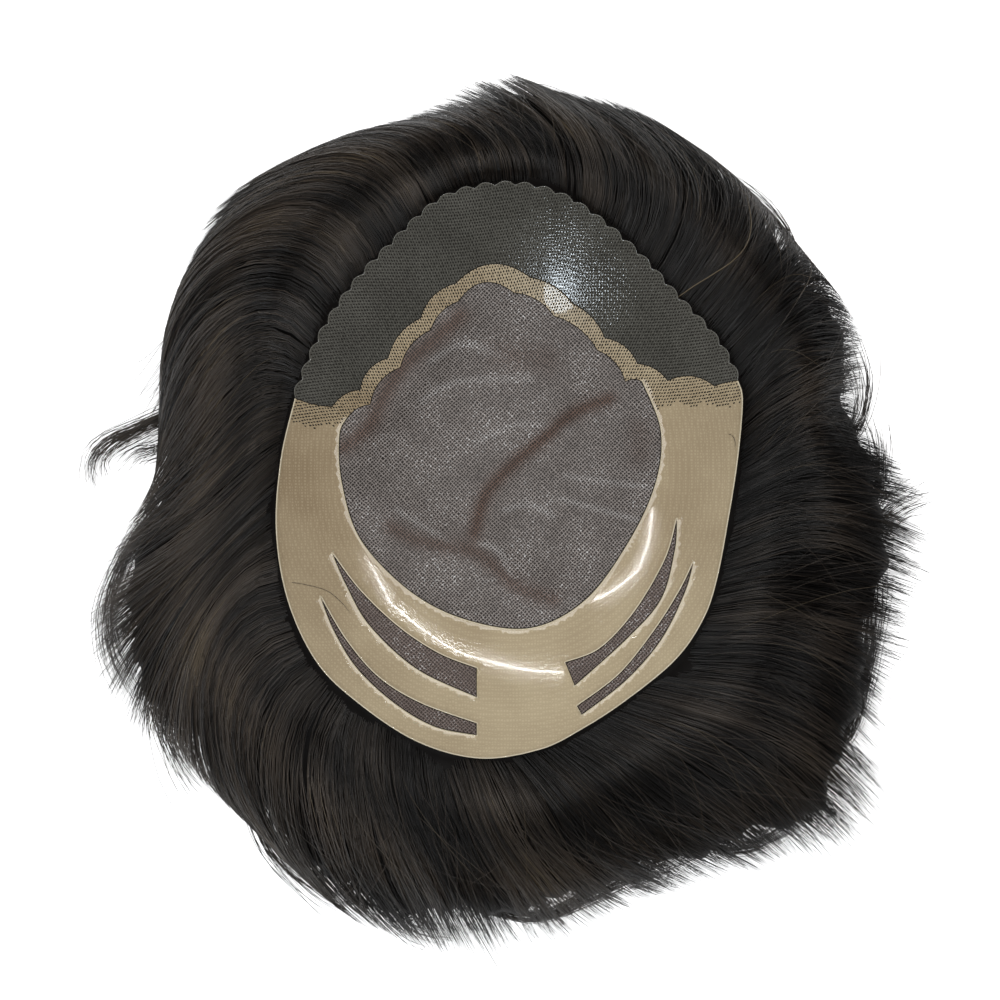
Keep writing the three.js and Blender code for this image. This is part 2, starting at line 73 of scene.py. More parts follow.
# Across, along and the bulge of the lobe after the point, where the strip meets the front skin
STRIP_LOBES = [
    (-0.92, 0.25, -0.05), (-0.76, 0.22, 0.12), (-0.64, 0.28, 0.16), (-0.52, 0.39, 0.12),
    (-0.38, 0.53, 0.14), (-0.23, 0.65, 0.22), (0.09, 0.67, 0.10), (0.27, 0.58, 0.10),
    (0.41, 0.46, 0.14), (0.55, 0.37, 0.12), (0.68, 0.31, 0.16), (0.88, 0.29, 0.05), (0.98, 0.31, 0),
]
# The same along the front edge of the lace
LACE_LOBES = [
    (-0.70, 0.18, 0.12), (-0.60, 0.23, 0.14), (-0.47, 0.36, 0.12), (-0.34, 0.49, 0.12),
    (-0.22, 0.59, 0.26), (0.02, 0.62, 0.12), (0.19, 0.54, 0.10), (0.38, 0.42, 0.12),
    (0.50, 0.31, 0.16), (0.57, 0.31, 0),
]
# The smooth edge of the lace round its sides and back, from right to left
LACE_BACK = [
    (0.57, 0.31), (0.65, 0.14), (0.63, -0.04), (0.52, -0.24), (0.33, -0.45), (0.09, -0.55),
    (-0.19, -0.52), (-0.43, -0.42), (-0.64, -0.24), (-0.72, -0.04), (-0.73, 0.12), (-0.70, 0.18),
]
# The slots: from the sharp tip along the outer edge, and from the tip along the inner edge
SLOTS = {
    "inner_left_window": {
        "outer": [(-0.76, -0.29), (-0.70, -0.40), (-0.60, -0.54), (-0.40, -0.69), (-0.14, -0.79)],
        "inner": [(-0.76, -0.29), (-0.64, -0.42), (-0.47, -0.55), (-0.30, -0.64), (-0.14, -0.69)],
    },
    "outer_left_window": {
        "outer": [(-0.81, -0.44), (-0.75, -0.56), (-0.65, -0.69), (-0.49, -0.81), (-0.32, -0.89),
                  (-0.14, -0.92)],
        "inner": [(-0.81, -0.44), (-0.70, -0.59), (-0.56, -0.72), (-0.38, -0.81), (-0.14, -0.88)],
    },
    "inner_right_window": {
        "outer": [(0.72, -0.17), (0.71, -0.28), (0.65, -0.45), (0.50, -0.59), (0.28, -0.75)],
        "inner": [(0.72, -0.17), (0.67, -0.31), (0.54, -0.49), (0.39, -0.62), (0.24, -0.67)],
    },
    "outer_right_window": {
        "outer": [(0.79, -0.32), (0.75, -0.43), (0.65, -0.59), (0.50, -0.73), (0.31, -0.85)],
        "inner": [(0.79, -0.32), (0.73, -0.42), (0.62, -0.56), (0.47, -0.71), (0.29, -0.82)],
    },
}


def on_base(shares):
    """Places on the base, in metres from its centre, from shares of its half sizes."""
    return np.array([(row[0] * HALF_WIDTH, row[1] * HALF_LENGTH) for row in shares])


def catmull_rom(knots, places):
    """Values on a smooth curve through knots (the first axis), at places counted in knots."""
    last = len(knots) - 1
    first = np.clip(np.floor(places).astype(int), 0, last - 1)
    share = (places - first).reshape((-1,) + (1,) * (knots.ndim - 1))
    a = knots[np.maximum(first - 1, 0)]
    b = knots[first]
    c = knots[first + 1]
    d = knots[np.minimum(first + 2, last)]
    bend = 2 * a - 5 * b + 4 * c - d + share * (3 * (b - c) + d - a)
    return b + 0.5 * share * (c - a + share * bend)


def smooth_line(points, steps=None):
    """A smooth line through points, in steps of equal length."""
    fine = catmull_rom(points, np.linspace(0, len(points) - 1, 60 * len(points)))
    run = np.append(0, np.cumsum(np.linalg.norm(np.diff(fine, axis=0), axis=1)))
    count = steps or round(run[-1] / LINE_STEP)
    at = np.linspace(0, run[-1], count + 1)
    return np.column_stack([np.interp(at, run, fine[:, 0]), np.interp(at, run, fine[:, 1])])


def lobed_line(corners, bulges, steps):
    """A chain of round lobes, each standing out to the left of its chord."""
    share = np.linspace(0, 1, steps, endpoint=False)[:, None]
    lobes = []
    for start, end, bulge in zip(corners, corners[1:], bulges):
        chord = end - start
        outwards = np.array([-chord[1], chord[0]])
        lobes.append(start + share * chord + 4 * share * (1 - share) * bulge * outwards)
    return np.vstack(lobes + [corners[-1:]])


def slot_outline(slot):
    outer = smooth_line(on_base(slot["outer"]))
    inner = smooth_line(on_base(slot["inner"]))
    return np.vstack([outer, inner[:0:-1]])


def bowl(x, y):
    """Height of the bowl's inner face over the floor, at places measured from the base's centre."""
    crown = HAIR_UNDER_CROWN + CAD_WALL
    return crown + SIDE_RISE * (x / HALF_WIDTH) ** 2 + END_RISE * (y / HALF_LENGTH) ** 2


def inside(points, loop):
    """Whether each point lies inside a closed line."""
    x, y = points[:, :1], points[:, 1:]
    start, end = loop, np.roll(loop, -1, axis=0)
    rise = end[:, 1] - start[:, 1]
    crosses = (start[:, 1] > y) != (end[:, 1] > y)
    run = (end[:, 0] - start[:, 0]) / np.where(rise == 0, 1, rise)
    return (crosses & (x < start[:, 0] + (y - start[:, 1]) * run)).sum(axis=1) % 2 == 1


def clearance(points, lines):
    """The distance of each point from the nearest of some lines."""
    corners = np.vstack(lines)
    tree = KDTree(len(corners))
    for number, (x, y) in enumerate(corners):
        tree.insert((x, y, 0), number)
    tree.balance()
    return np.array([tree.find((x, y, 0))[2] for x, y in points])


def inset(loop, distance):
    """A closed line moved to its left by a distance, or to its right where that is negative."""
    along = np.roll(loop, -1, axis=0) - np.roll(loop, 1, axis=0)
    along /= np.linalg.norm(along, axis=1)[:, None]
    return loop + distance * np.column_stack([-along[:, 1], along[:, 0]])


def signed_area(loop):
    after = np.roll(loop, -1, axis=0)
    return 0.5 * np.sum(loop[:, 0] * after[:, 1] - after[:, 0] * loop[:, 1])


def in_scene(name, data):
    """A new object of a mesh, a lamp or a lens."""
    made = bpy.data.objects.new(name, data)
    bpy.context.scene.collection.objects.link(made)
    return made


def within(points, outlines):
    """Whether points lie inside the first outline and in none of the others, which are holes."""
    kept = inside(points, outlines[0])
    for hole in outlines[1:]:
        kept &= ~inside(points, hole)
    return kept


def film_points(outlines, cell):
    """Points of a film: its outlines, rows beside each for the bead, then a staggered grid."""
    grains = list(outlines)
    for number, outline in enumerate(outlines):
        inwards = math.copysign(1, signed_area(outline)) * (1 if number == 0 else -1)
        for share in (0.25, 0.5, 0.75, 1.0):
            distance = share * BEAD_WIDTH
            moved = inset(outline, inwards * distance)
            grains.append(moved[clearance(moved, outlines) > 0.9 * distance])
    low, high = outlines[0].min(axis=0), outlines[0].max(axis=0)
    across = np.arange(low[0], high[0], cell)
    along = np.arange(low[1], high[1], cell * math.sqrt(0.75))
    grid = np.array([(x + cell / 2 * (row % 2), y) for row, y in enumerate(along) for x in across])
    grid = grid[within(grid, outlines)]
    grains.append(grid[clearance(grid, outlines) > 1.4 * BEAD_WIDTH])
    return np.vstack(grains)


def film_triangles(outlines, cell):
    """The places of a film's points, and its triangles, all with their faces up."""
    edges = []
    start = 0
    for outline in outlines:
        count = len(outline)
        edges += [(start + i, start + (i + 1) % count) for i in range(count)]
        start += count
    in_millimetres = 1000 * film_points(outlines, cell)
    found = delaunay_2d_cdt([Vector(place) for place in in_millimetres], edges, [], 0, 1e-4)
    places = np.array([tuple(place) for place in found[0]]) / 1000
    faces = np.array([tuple(face) for face in found[2]])
    faces = faces[within(places[faces].mean(axis=1), outlines)]
    corners = places[faces]
    turned = np.cross(corners[:, 1] - corners[:, 0], corners[:, 2] - corners[:, 0]) < 0
    faces[turned] = faces[turned][:, ::-1]
    used, faces = np.unique(faces, return_inverse=True)
    return places[used], faces.reshape(-1, 3)


def closed_film(name, outlines, height, cell, wall, edges_at=None):
    """A closed sheet: the first outline bounds it and the others are holes. height gives its upper
    face from the distance to the edge, which stays on the mesh as the attribute edge. The distance
    is from edges_at where only some lines count as the sheet's edge."""
    places, faces = film_triangles(outlines, cell)
    edge = clearance(places, edges_at or outlines)
    upper = height(places, edge)
    count = len(places)
    sides = np.vstack([faces[:, [0, 1]], faces[:, [1, 2]], faces[:, [2, 0]]])
    known = set(map(tuple, sides.tolist()))
    rim = [(b, a, a + count, b + count) for a, b in sides.tolist() if (b, a) not in known]
    points = np.vstack([np.column_stack([places, upper]), np.column_stack([places, upper - wall])])
    points[:, :2] += BASE_CENTRE
    mesh = bpy.data.meshes.new(name)
    under = (faces[:, ::-1] + count).tolist()
    mesh.from_pydata(points.tolist(), [], faces.tolist() + under + rim)
    mesh.attributes.new("edge", "FLOAT", "POINT").data.foreach_set("value", np.tile(edge, 2))
    mesh.shade_smooth()
    return in_scene(name, mesh)


def bead(edge):
    """The rolled edge of a film: a round rise that ends BEAD_WIDTH from the edge."""
    share = np.clip(edge / BEAD_WIDTH, 0, 1)
    return BEAD_HEIGHT * (np.sqrt(np.clip(1 - (2 * share - 1) ** 2, 0, 1)) - 0.5 * (share == 0))


class Wire:
    """A socket of a material's nodes. Sums, products and shares of wires add Math nodes."""

    def __init__(self, tree, socket=None):
        self.tree = tree
        self.socket = socket

    def node(self, kind, settings=(), inputs=(), output=0):
        """Any node: its type, its settings, then the values or wires of its sockets."""
        made = self.tree.nodes.new(kind)
        for name, value in dict(settings).items():
            if name == "stops":
                ramp = made.color_ramp.elements
                while len(ramp) < len(value):
                    ramp.new(1)
                for stop, (place, colour) in zip(ramp, value):
                    stop.position = place
                    stop.color = (*colour, 1)
            else:
                setattr(made, name, value)
        for name, value in dict(inputs).items():
            if isinstance(value, Wire):
                self.tree.links.new(value.socket, made.inputs[name])
            else:
                made.inputs[name].default_value = value
        return Wire(self.tree, made.outputs[output])

    def maths(self, operation, first, second=0):
        return self.node("ShaderNodeMath", {"operation": operation}, {0: first, 1: second})

    def __add__(self, other):
        return self.maths("ADD", self, other)

    def __mul__(self, other):
        return self.maths("MULTIPLY", self, other)

    def __sub__(self, other):
        return self.maths("SUBTRACT", self, other)

    def __rsub__(self, other):
        return self.maths("SUBTRACT", other, self)

    __radd__ = __add__
    __rmul__ = __mul__

    def between(self, low, high):
        """0 below low, 1 above high, and smooth between them."""
        settings = {"interpolation_type": "SMOOTHSTEP"}
        return self.node("ShaderNodeMapRange", settings, {"Value": self, 1: low, 2: high})

    def mixed(self, first, second):
        """From the first colour to the second as this wire goes from 0 to 1."""
        colours = [c if isinstance(c, Wire) else (*c, 1) for c in (first, second)]
        settings = {"data_type": "RGBA"}
        return self.node("ShaderNodeMix", settings, {0: self, 6: colours[0], 7: colours[1]}, 2)

    def noise(self, scale, detail=2, colour=False):
        """Noise of a scale, as a number or as a colour that serves as a random vector."""
        inputs = {"Vector": self, "Scale": scale, "Detail": detail}
        return self.node("ShaderNodeTexNoise", {}, inputs, int(colour))

    def stretched(self, scale, turn=0):
        """The same coordinates, turned about Z by degrees and then scaled."""
        inputs = {"Vector": self, "Rotation": (0, 0, math.radians(turn)), "Scale": scale}
        return self.node("ShaderNodeMapping", {}, inputs)

    def raised(self, distance, strength=1.0):
        """The normal of a surface that this wire raises by up to a distance."""
        inputs = {"Height": self, "Distance": distance, "Strength": strength}
        return self.node("ShaderNodeBump", {}, inputs)


def finish_of(name, **sockets):
    """A new material and the wire to draw its nodes from; sockets are the shader's fixed values."""
    material = bpy.data.materials.new(name)
    material.use_nodes = True
    shader = material.node_tree.nodes["Principled BSDF"]
    for socket, value in sockets.items():
        shader.inputs[socket.replace("_", " ")].default_value = value
    return material, Wire(material.node_tree), shader


def feed(shader, wires):
    for socket, wire in wires.items():
        wire.tree.links.new(wire.socket, shader.inputs[socket])


def on_surface(wire):
    return wire.node("ShaderNodeTexCoord", output=3)


def attribute(wire, name):
    return wire.node("ShaderNodeAttribute", {"attribute_name": name}, output=2)


def honeycomb(place, pitch):
    """1 in the middle of each cell of a fine net of a pitch in metres, 0 on its threads."""
    cells = place.node("ShaderNodeTexVoronoi", {"feature": "DISTANCE_TO_EDGE"},
                       {"Vector": place, "Scale": 1 / pitch, "Randomness": 0.35})
    return cells.between(0.05, 0.35)


POLY_SHADOW = (0.262, 0.195, 0.118)
POLY_LIGHT = (0.545, 0.455, 0.302)
POLY_BEAD = (0.620, 0.550, 0.405)
POLY_NET_PITCH = 0.0012
# The front strip begins between these places along the base
STRIP_BEGINS = (0.034, 0.050)
# How much lighter the poly is to the right, at the nape, on the strip, in its clouds and in its net
POLY_GAINS = (0.22, 0.40, 0.12, 0.20, 0.26)
POLY_ROUGHNESS = 0.06
STRIP_ROUGHER = 0.30
POLY_CRACKLE_GRAIN = 1300
POLY_CRACKLE = 0.000020
BEAD_STRENGTH = 0.7


def poly_finish():
    material, wire, shader = finish_of("poly_finish", Coat_Weight=0.4, Coat_Roughness=0.04)
    place = on_surface(wire)
    cells = honeycomb(place, POLY_NET_PITCH)
    cloudy = place.noise(38, 3).between(0.3, 0.7)
    x, y = (place.node("ShaderNodeSeparateXYZ", {}, {0: place}, output) for output in (0, 1))
    strip = y.between(*STRIP_BEGINS)
    right, nape, front, clouds, net_cells = POLY_GAINS
    light = right * x.between(-0.09, 0.09) + nape * (1 - y.between(-0.09, 0.0))
    light = light + front * strip + cloudy * clouds + cells * net_cells
    edge = 1 - attribute(wire, "edge").between(0.5 * BEAD_WIDTH, 1.1 * BEAD_WIDTH)
    colour = (edge * BEAD_STRENGTH).mixed(light.mixed(POLY_SHADOW, POLY_LIGHT), POLY_BEAD)
    crackle = place.noise(POLY_CRACKLE_GRAIN, 0) * 0.7 + cells * 0.3
    feed(shader, {
        "Base Color": colour,
        "Roughness": cloudy * 0.02 + strip * STRIP_ROUGHER + POLY_ROUGHNESS,
        "Normal": crackle.raised(POLY_CRACKLE),
    })
    return material


rim_back = smooth_line(on_base(RIM_BACK))
strip_line = lobed_line(on_base(STRIP_LOBES), [row[2] for row in STRIP_LOBES], 16)
lace_front = lobed_line(on_base(LACE_LOBES), [row[2] for row in LACE_LOBES], 16)
lace_back = smooth_line(on_base(LACE_BACK))
ring_outline = np.vstack([strip_line[1:], rim_back[1:]])
lace_outline = np.vstack([lace_front[1:], lace_back[1:]])
slot_outlines = {name: slot_outline(slot) for name, slot in SLOTS.items()}


def beaded_bowl(places, edge):
    return bowl(*places.T) + bead(edge)


poly_ring = closed_film("poly_border", [ring_outline, lace_outline, *slot_outlines.values()],
                        beaded_bowl, FILM_CELL, FILM_WALL,
                        [rim_back, lace_back, *slot_outlines.values()])
poly_ring.data.materials.append(poly_finish())
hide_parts("poly_ring")
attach(poly_ring, "root")


# The front skin: a clear polyurethane film, thin enough that the dark hair knotted through it turns it
# grey-green. Its hairline is cut in a row of small scallops, so that the edge doesn't show on a forehead.
SCALLOP_COUNT = 31
SCALLOP_DEPTH = 0.0017
SKIN_SHADOW = (0.052, 0.050, 0.042)
SKIN_LIGHT = (0.122, 0.118, 0.102)
SKIN_BEAD = (0.130, 0.128, 0.112)
SKIN_ROUGHNESS = 0.09
SKIN_CRACKLE_GRAIN = 1100
SKIN_CRACKLE = 0.00007
# The line that the hollows between the scallops lie on, from the left temple to the right one
RIM_FRONT = [
    (-0.92, 0.25), (-0.82, 0.45), (-0.68, 0.63), (-0.51, 0.78), (-0.31, 0.93), (-0.14, 0.98),
    (0.03, 0.99), (0.20, 0.96), (0.35, 0.89), (0.54, 0.76), (0.72, 0.60), (0.89, 0.45), (0.98, 0.31),
]

rim_front = smooth_line(on_base(RIM_FRONT), SCALLOP_COUNT)
scallop_pitch = np.linalg.norm(np.diff(rim_front, axis=0), axis=1)
hairline = lobed_line(rim_front, SCALLOP_DEPTH / scallop_pitch, 10)
front_outline = np.vstack([hairline[1:], strip_line[:-1][::-1]])


def skin_finish():
    material, wire, shader = finish_of("front_skin_finish", Specular_IOR_Level=0.7)
    place = on_surface(wire)
    cells = honeycomb(place, POLY_NET_PITCH)
    cloudy = place.noise(45, 3).between(0.3, 0.7)
    edge = 1 - attribute(wire, "edge").between(0.4 * BEAD_WIDTH, 1.0 * BEAD_WIDTH)
    light = cloudy * 0.35 + cells * 0.45 + 0.1
    crackle = place.noise(SKIN_CRACKLE_GRAIN, 3) * 0.6 + cells * 0.4
    feed(shader, {
        "Base Color": edge.mixed(light.mixed(SKIN_SHADOW, SKIN_LIGHT), SKIN_BEAD),
        "Roughness": cloudy * 0.04 + SKIN_ROUGHNESS,
        "Normal": crackle.raised(SKIN_CRACKLE),
    })
    return material


front_inset = -SEAM_GAP if signed_area(front_outline) < 0 else SEAM_GAP
front_skin = closed_film("front_film", [inset(front_outline, front_inset)], beaded_bowl, FILM_CELL,
                         FILM_WALL, [hairline])
front_skin.data.materials.append(skin_finish())
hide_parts("front_skin")
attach(front_skin, "root")


# The knots: each hair is tied through the film with one turn, which shows as a dark slanted dash.
# They stand in staggered rows over the front skin, the strip behind it and the tops of the sides,
# upright in the middle and leaning outwards to both sides.
KNOT_PITCH = 0.00108
KNOT_ROW = 0.00122
KNOT_LENGTH = 0.00136
KNOT_WIDTH = 0.00072
KNOT_HEIGHT = 0.00034
KNOT_JITTER = 0.15
KNOT_LEAN = 55
KNOT_CLEAR_OF_EDGE = 0.0003
KNOTS_END_LEFT = 0.018
KNOTS_END_RIGHT = 0.026
KNOT_COLOUR = (0.011, 0.010, 0.008)


def started(name, inputs):
    """A new Geometry Nodes tree, as the wires of its geometry and of its named inputs."""
    tree = bpy.data.node_groups.new(name, "GeometryNodeTree")
    tree.interface.new_socket(name="Geometry", in_out="OUTPUT", socket_type="NodeSocketGeometry")
    for label, kind in {"Geometry": "NodeSocketGeometry", **inputs}.items():
        tree.interface.new_socket(name=label, in_out="INPUT", socket_type=kind)
    start = tree.nodes.new("NodeGroupInput")
    return [Wire(tree, socket) for socket in start.outputs[:1 + len(inputs)]]


def ended(geometry, material):
    """The tree of a geometry's wire, ended with real, smooth meshes in a material."""
    real = geometry.node("GeometryNodeRealizeInstances", {}, {"Geometry": geometry})
    smooth = real.node("GeometryNodeSetShadeSmooth", {}, {"Geometry": real})
    done = smooth.node("GeometryNodeSetMaterial", {}, {"Geometry": smooth, "Material": material})
    end = done.tree.nodes.new("NodeGroupOutput")
    done.tree.links.new(done.socket, end.inputs[0])
    return done.tree


def grown(name, mesh, tree, values):
    """A plain mesh object from a mesh that a node tree has worked on, with values for its inputs."""
    seed = in_scene(name + "_seed", mesh)
    modifier = seed.modifiers.new(name, "NODES")
    modifier.node_group = tree
    sockets = [item for item in tree.interface.items_tree if item.in_out == "INPUT"]
    for socket, value in zip(sockets[1:], values):
        modifier[socket.identifier] = value
    depsgraph = bpy.context.evaluated_depsgraph_get()
    plain = bpy.data.meshes.new_from_object(seed.evaluated_get(depsgraph))
    bpy.data.objects.remove(seed)
    return in_scene(name, plain)


def turned_to(*axes):
    """The turn that lays X, Y and Z along three axes at right angles."""
    return Matrix([tuple(row) for row in zip(*axes)]).to_euler()


def knot_tree(material):
    """Geometry Nodes: a small dark bead, stretched and turned, on each point of a mesh."""
    labels = ("Knot length", "Knot width", "Knot height")
    points, length, width, height = started("knots", dict.fromkeys(labels, "NodeSocketFloat"))
    ball = points.node("GeometryNodeMeshUVSphere", {}, {"Segments": 4, "Rings": 2, "Radius": 0.5})
    turn = points.node("GeometryNodeInputNamedAttribute", {"data_type": "FLOAT_VECTOR"},
                       {"Name": "turn"})
    size = points.node("ShaderNodeCombineXYZ", {}, {0: length, 1: width, 2: height})
    jitter = points.node("FunctionNodeRandomValue", {"data_type": "FLOAT"},
                         {2: 1 - KNOT_JITTER, 3: 1 + KNOT_JITTER, "Seed": 5}, 1)
    scale = points.node("ShaderNodeVectorMath", {"operation": "SCALE"}, {0: size, 3: jitter})
    return ended(points.node("GeometryNodeInstanceOnPoints", {}, {
        "Points": points, "Instance": ball, "Rotation": turn, "Scale": scale}), material)


def knot_places():
    """Staggered rows over the skin, the strip and the tops of the sides, clear of every edge."""
    shaker = np.random.default_rng(21)
    across = np.arange(-HALF_WIDTH, HALF_WIDTH, KNOT_PITCH)
    along = np.arange(0, 1.05 * HALF_LENGTH, KNOT_ROW)
    rows = [(x + KNOT_PITCH / 2 * (row % 2), y) for row, y in enumerate(along) for x in across]
    places = np.array(rows) + shaker.normal(0, 0.05 * KNOT_PITCH, (len(rows), 2))
    places[:, 1] += 0.0012 * np.sin(70 * places[:, 0]) + 0.08 * places[:, 0]
    on_skin = inside(places, front_outline)
    on_ring = inside(places, ring_outline) & ~inside(places, lace_outline)
    x, y = places.T
    ragged = 0.0010 * np.sin(500 * x) + shaker.normal(0, 0.0006, len(x))
    ends = np.where(x < 0, KNOTS_END_LEFT, KNOTS_END_RIGHT) + ragged
    places = places[on_skin | (on_ring & (y > ends))]
    edges = [hairline, lace_outline, rim_back]
    return places[clearance(places, edges) > KNOT_CLEAR_OF_EDGE]


def knot_seeds():
    places = knot_places()
    x, y = places.T
    near_left_rim = np.clip((-x / HALF_WIDTH - 0.72) / 0.2, 0, 1) * np.clip((0.06 - y) / 0.03, 0, 1)
    outwards = np.clip(x / HALF_WIDTH / 0.8, -1, 1)
    slant = np.radians(90 - KNOT_LEAN * outwards + 25 * near_left_rim)
    slant += np.random.default_rng(22).normal(0, 0.08, len(x))
    slope_x = 2 * SIDE_RISE * x / HALF_WIDTH ** 2
    slope_y = 2 * END_RISE * y / HALF_LENGTH ** 2
    turns = []
    for angle, rise_x, rise_y in zip(slant, slope_x, slope_y):
        direction = Vector((math.cos(angle), math.sin(angle), 0))
        direction.z = direction.x * rise_x + direction.y * rise_y
        upright = Vector((-rise_x, -rise_y, 1)).normalized()
        sideways = upright.cross(direction).normalized()
        forwards = sideways.cross(upright)
        turns.append(turned_to(forwards, sideways, upright))
    mesh = bpy.data.meshes.new("knot_seeds")
    points = np.column_stack([places + BASE_CENTRE, bowl(x, y)])
    mesh.from_pydata(points.tolist(), [], [])
    stored = mesh.attributes.new("turn", "FLOAT_VECTOR", "POINT")
    stored.data.foreach_set("vector", np.array([tuple(turn) for turn in turns]).ravel())
    return mesh


knot_material, knot_wire, knot_shader = finish_of("knot_finish", Roughness=0.7,
                                                  Specular_IOR_Level=0.2)
feed(knot_shader, {"Base Color": on_surface(knot_wire).noise(900).mixed(
    KNOT_COLOUR, tuple(2.2 * share for share in KNOT_COLOUR))})
knots = grown("hair_knots", knot_seeds(), knot_tree(knot_material),
              (KNOT_LENGTH, KNOT_WIDTH, KNOT_HEIGHT))
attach(knots, "root")


# The lace: a stiff square net of fine monofilament, the centre of the base. It lies loose enough to
# stand in a few soft folds, where the brown of the threads and the hair below shows more, and shade
# is painted brown beside the ridges.
LACE_CELL = 0.0016
LACE_WALL = 0.0004
LACE_PITCH = 0.00108
LACE_SHIFT = 0.0016
FOLD_HEIGHT = 0.003
LACE_DARK = (0.013, 0.009, 0.007)
LACE_THREAD = (0.325, 0.287, 0.266)
LACE_BRIGHT = (0.800, 0.790, 0.780)
LACE_BROWN = (0.165, 0.100, 0.075)
# Each fold's ridge, its height as a share of FOLD_HEIGHT and its width; the part has the same three
FOLDS = [
    ([(-0.22, 0.52), (-0.64, 0.10)], 0.7, 0.008),
    ([(0.40, 0.26), (0.10, 0.0), (-0.12, -0.20)], 1.0, 0.008),
    ([(-0.50, -0.18), (-0.20, -0.30), (0.16, -0.44)], 0.9, 0.008),
]
# Brown bands beside the ridges, where the net is seen edge on and shade is painted on the folds'
# flanks: their line, strength and width
BANDS = [
    ([(-0.21, 0.54), (-0.33, 0.45), (-0.45, 0.37), (-0.54, 0.26), (-0.60, 0.16), (-0.71, 0.08)],
     0.9, 0.0038),
    ([(0.43, 0.25), (0.28, 0.20), (0.16, 0.12), (0.04, 0.04), (-0.06, -0.04), (-0.11, -0.10),
      (-0.15, -0.22)], 1.0, 0.0032),
    ([(-0.51, -0.20), (-0.38, -0.25), (-0.17, -0.28), (-0.06, -0.34), (0.04, -0.41), (0.19, -0.45)],
     0.75, 0.0034),
    ([(-0.04, 0.41), (0.16, 0.39)], 0.45, 0.006),
    ([(0.56, 0.14), (0.56, 0.06)], 0.4, 0.005),
]
# Pale streaks on the crests, where the net catches the light
STREAKS = [
    ([(-0.34, 0.38), (-0.20, 0.44), (-0.04, 0.40)], 0.4, 0.0012),
    ([(-0.38, 0.24), (-0.22, 0.31), (0.10, 0.32)], 0.4, 0.0012),
    ([(-0.14, 0.10), (0.04, 0.16), (0.26, 0.14)], 0.3, 0.0014),
    ([(-0.12, -0.26), (-0.05, -0.28), (0.01, -0.37)], 0.7, 0.0010),
    ([(-0.48, -0.14), (-0.36, -0.20), (-0.22, -0.27)], 0.5, 0.0010),
    ([(-0.02, -0.14), (0.08, -0.12), (0.19, -0.16)], 0.5, 0.0010),
    ([(0.22, -0.10), (0.40, -0.14), (0.58, -0.18)], 0.5, 0.0010),
    ([(0.24, -0.02), (0.42, -0.04), (0.60, -0.06)], 0.4, 0.0010),
]


def nearness(places, line, width):
    """1 on a line and fading to 0 over a width beside it."""
    away = clearance(places, [smooth_line(on_base(line))]) / width
    return np.exp(-away ** 2)


def lace_height(places, edge):
    x, y = places.T
    rise = sum(FOLD_HEIGHT * share * nearness(places, line, width) for line, share, width in FOLDS)
    return bowl(x, y) + rise * np.clip(edge / 0.006, 0, 1)


def net(place, pitch, turn):
    """The threads of a square net: 1 along the middle of each thread, 0 in the holes."""
    turned = place.stretched((1 / pitch, 1 / pitch, 1), turn)
    parts = [turned.node("ShaderNodeSeparateXYZ", {}, {0: turned}, output) for output in (0, 1)]
    threads = [part.maths("PINGPONG", part, 0.5) * 2 for part in parts]
    return threads[0].maths("MAXIMUM", threads[0], threads[1])


def lace_finish(name, dark, thread, brown):
    material, wire, shader = finish_of(name, Roughness=0.55, Specular_IOR_Level=0.3)
    place = on_surface(wire)
    wavy = place.noise(60, 2)
    jitter = wire.node("ShaderNodeVectorMath", {"operation": "MULTIPLY_ADD"}, {
        0: place.noise(260, 1, colour=True), 1: (LACE_SHIFT,) * 3, 2: place})
    threads = net(jitter, LACE_PITCH, 45).between(0.42, 1.0)
    uneven = place.noise(750, 2).between(0.25, 0.75)
    glint = place.noise(1150, 2).between(0.56, 0.70) * threads * wavy.between(0.35, 0.65)
    band = attribute(wire, "band")
    shaded = threads * (0.30 + 0.45 * wavy + 0.45 * uneven)
    # The bands turn the threads brown: the net seen edge on, and painted shade beside the fold ridges
    colour = shaded.mixed(dark, band.mixed(thread, brown))
    glint = glint + attribute(wire, "streak") * threads * 0.7
    glint = glint * (1 - band)
    colour = (glint * 0.8).mixed(colour, LACE_BRIGHT)
    feed(shader, {"Base Color": colour, "Normal": threads.raised(0.00010)})
    return material


def set_bands(piece):
    """The brown bands and the pale streaks as attributes of the lace's mesh."""
    count = len(piece.data.vertices)
    points = np.empty(3 * count)
    piece.data.vertices.foreach_get("co", points)
    places = points.reshape(-1, 3)[:, :2] - BASE_CENTRE
    for label, table in (("band", BANDS), ("streak", STREAKS)):
        bands = [share * nearness(places, line, width) for line, share, width in table]
        stored = piece.data.attributes.new(label, "FLOAT", "POINT")
        stored.data.foreach_set("value", np.clip(sum(bands), 0, 1))


def seated(outline):
    """An outline drawn in by the seam's gap."""
    return inset(outline, math.copysign(SEAM_GAP, signed_area(outline)))


lace = closed_film("lace_centre", [seated(lace_outline)], lace_height, LACE_CELL, LACE_WALL)
lace.data.materials.append(lace_finish("lace_finish", LACE_DARK, LACE_THREAD, LACE_BROWN))
set_bands(lace)
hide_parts("lace_panel")
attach(lace, "root")


# The windows: the same net where it shows through the slots of the poly, over darker hair.
WINDOW_DARK = (0.040, 0.028, 0.024)
WINDOW_THREAD = (0.230, 0.185, 0.165)
WINDOW_BROWN = (0.150, 0.085, 0.062)

window_finish = lace_finish("window_finish", WINDOW_DARK, WINDOW_THREAD, WINDOW_BROWN)
for name, outline in slot_outlines.items():
    window = closed_film(name.replace("window", "net"), [seated(outline)],
                         lambda places, edge: bowl(*places.T) - FILM_WALL / 2, LACE_CELL, LACE_WALL)
    window.data.materials.append(window_finish)
    set_bands(window)
    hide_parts(name)
    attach(window, "root")
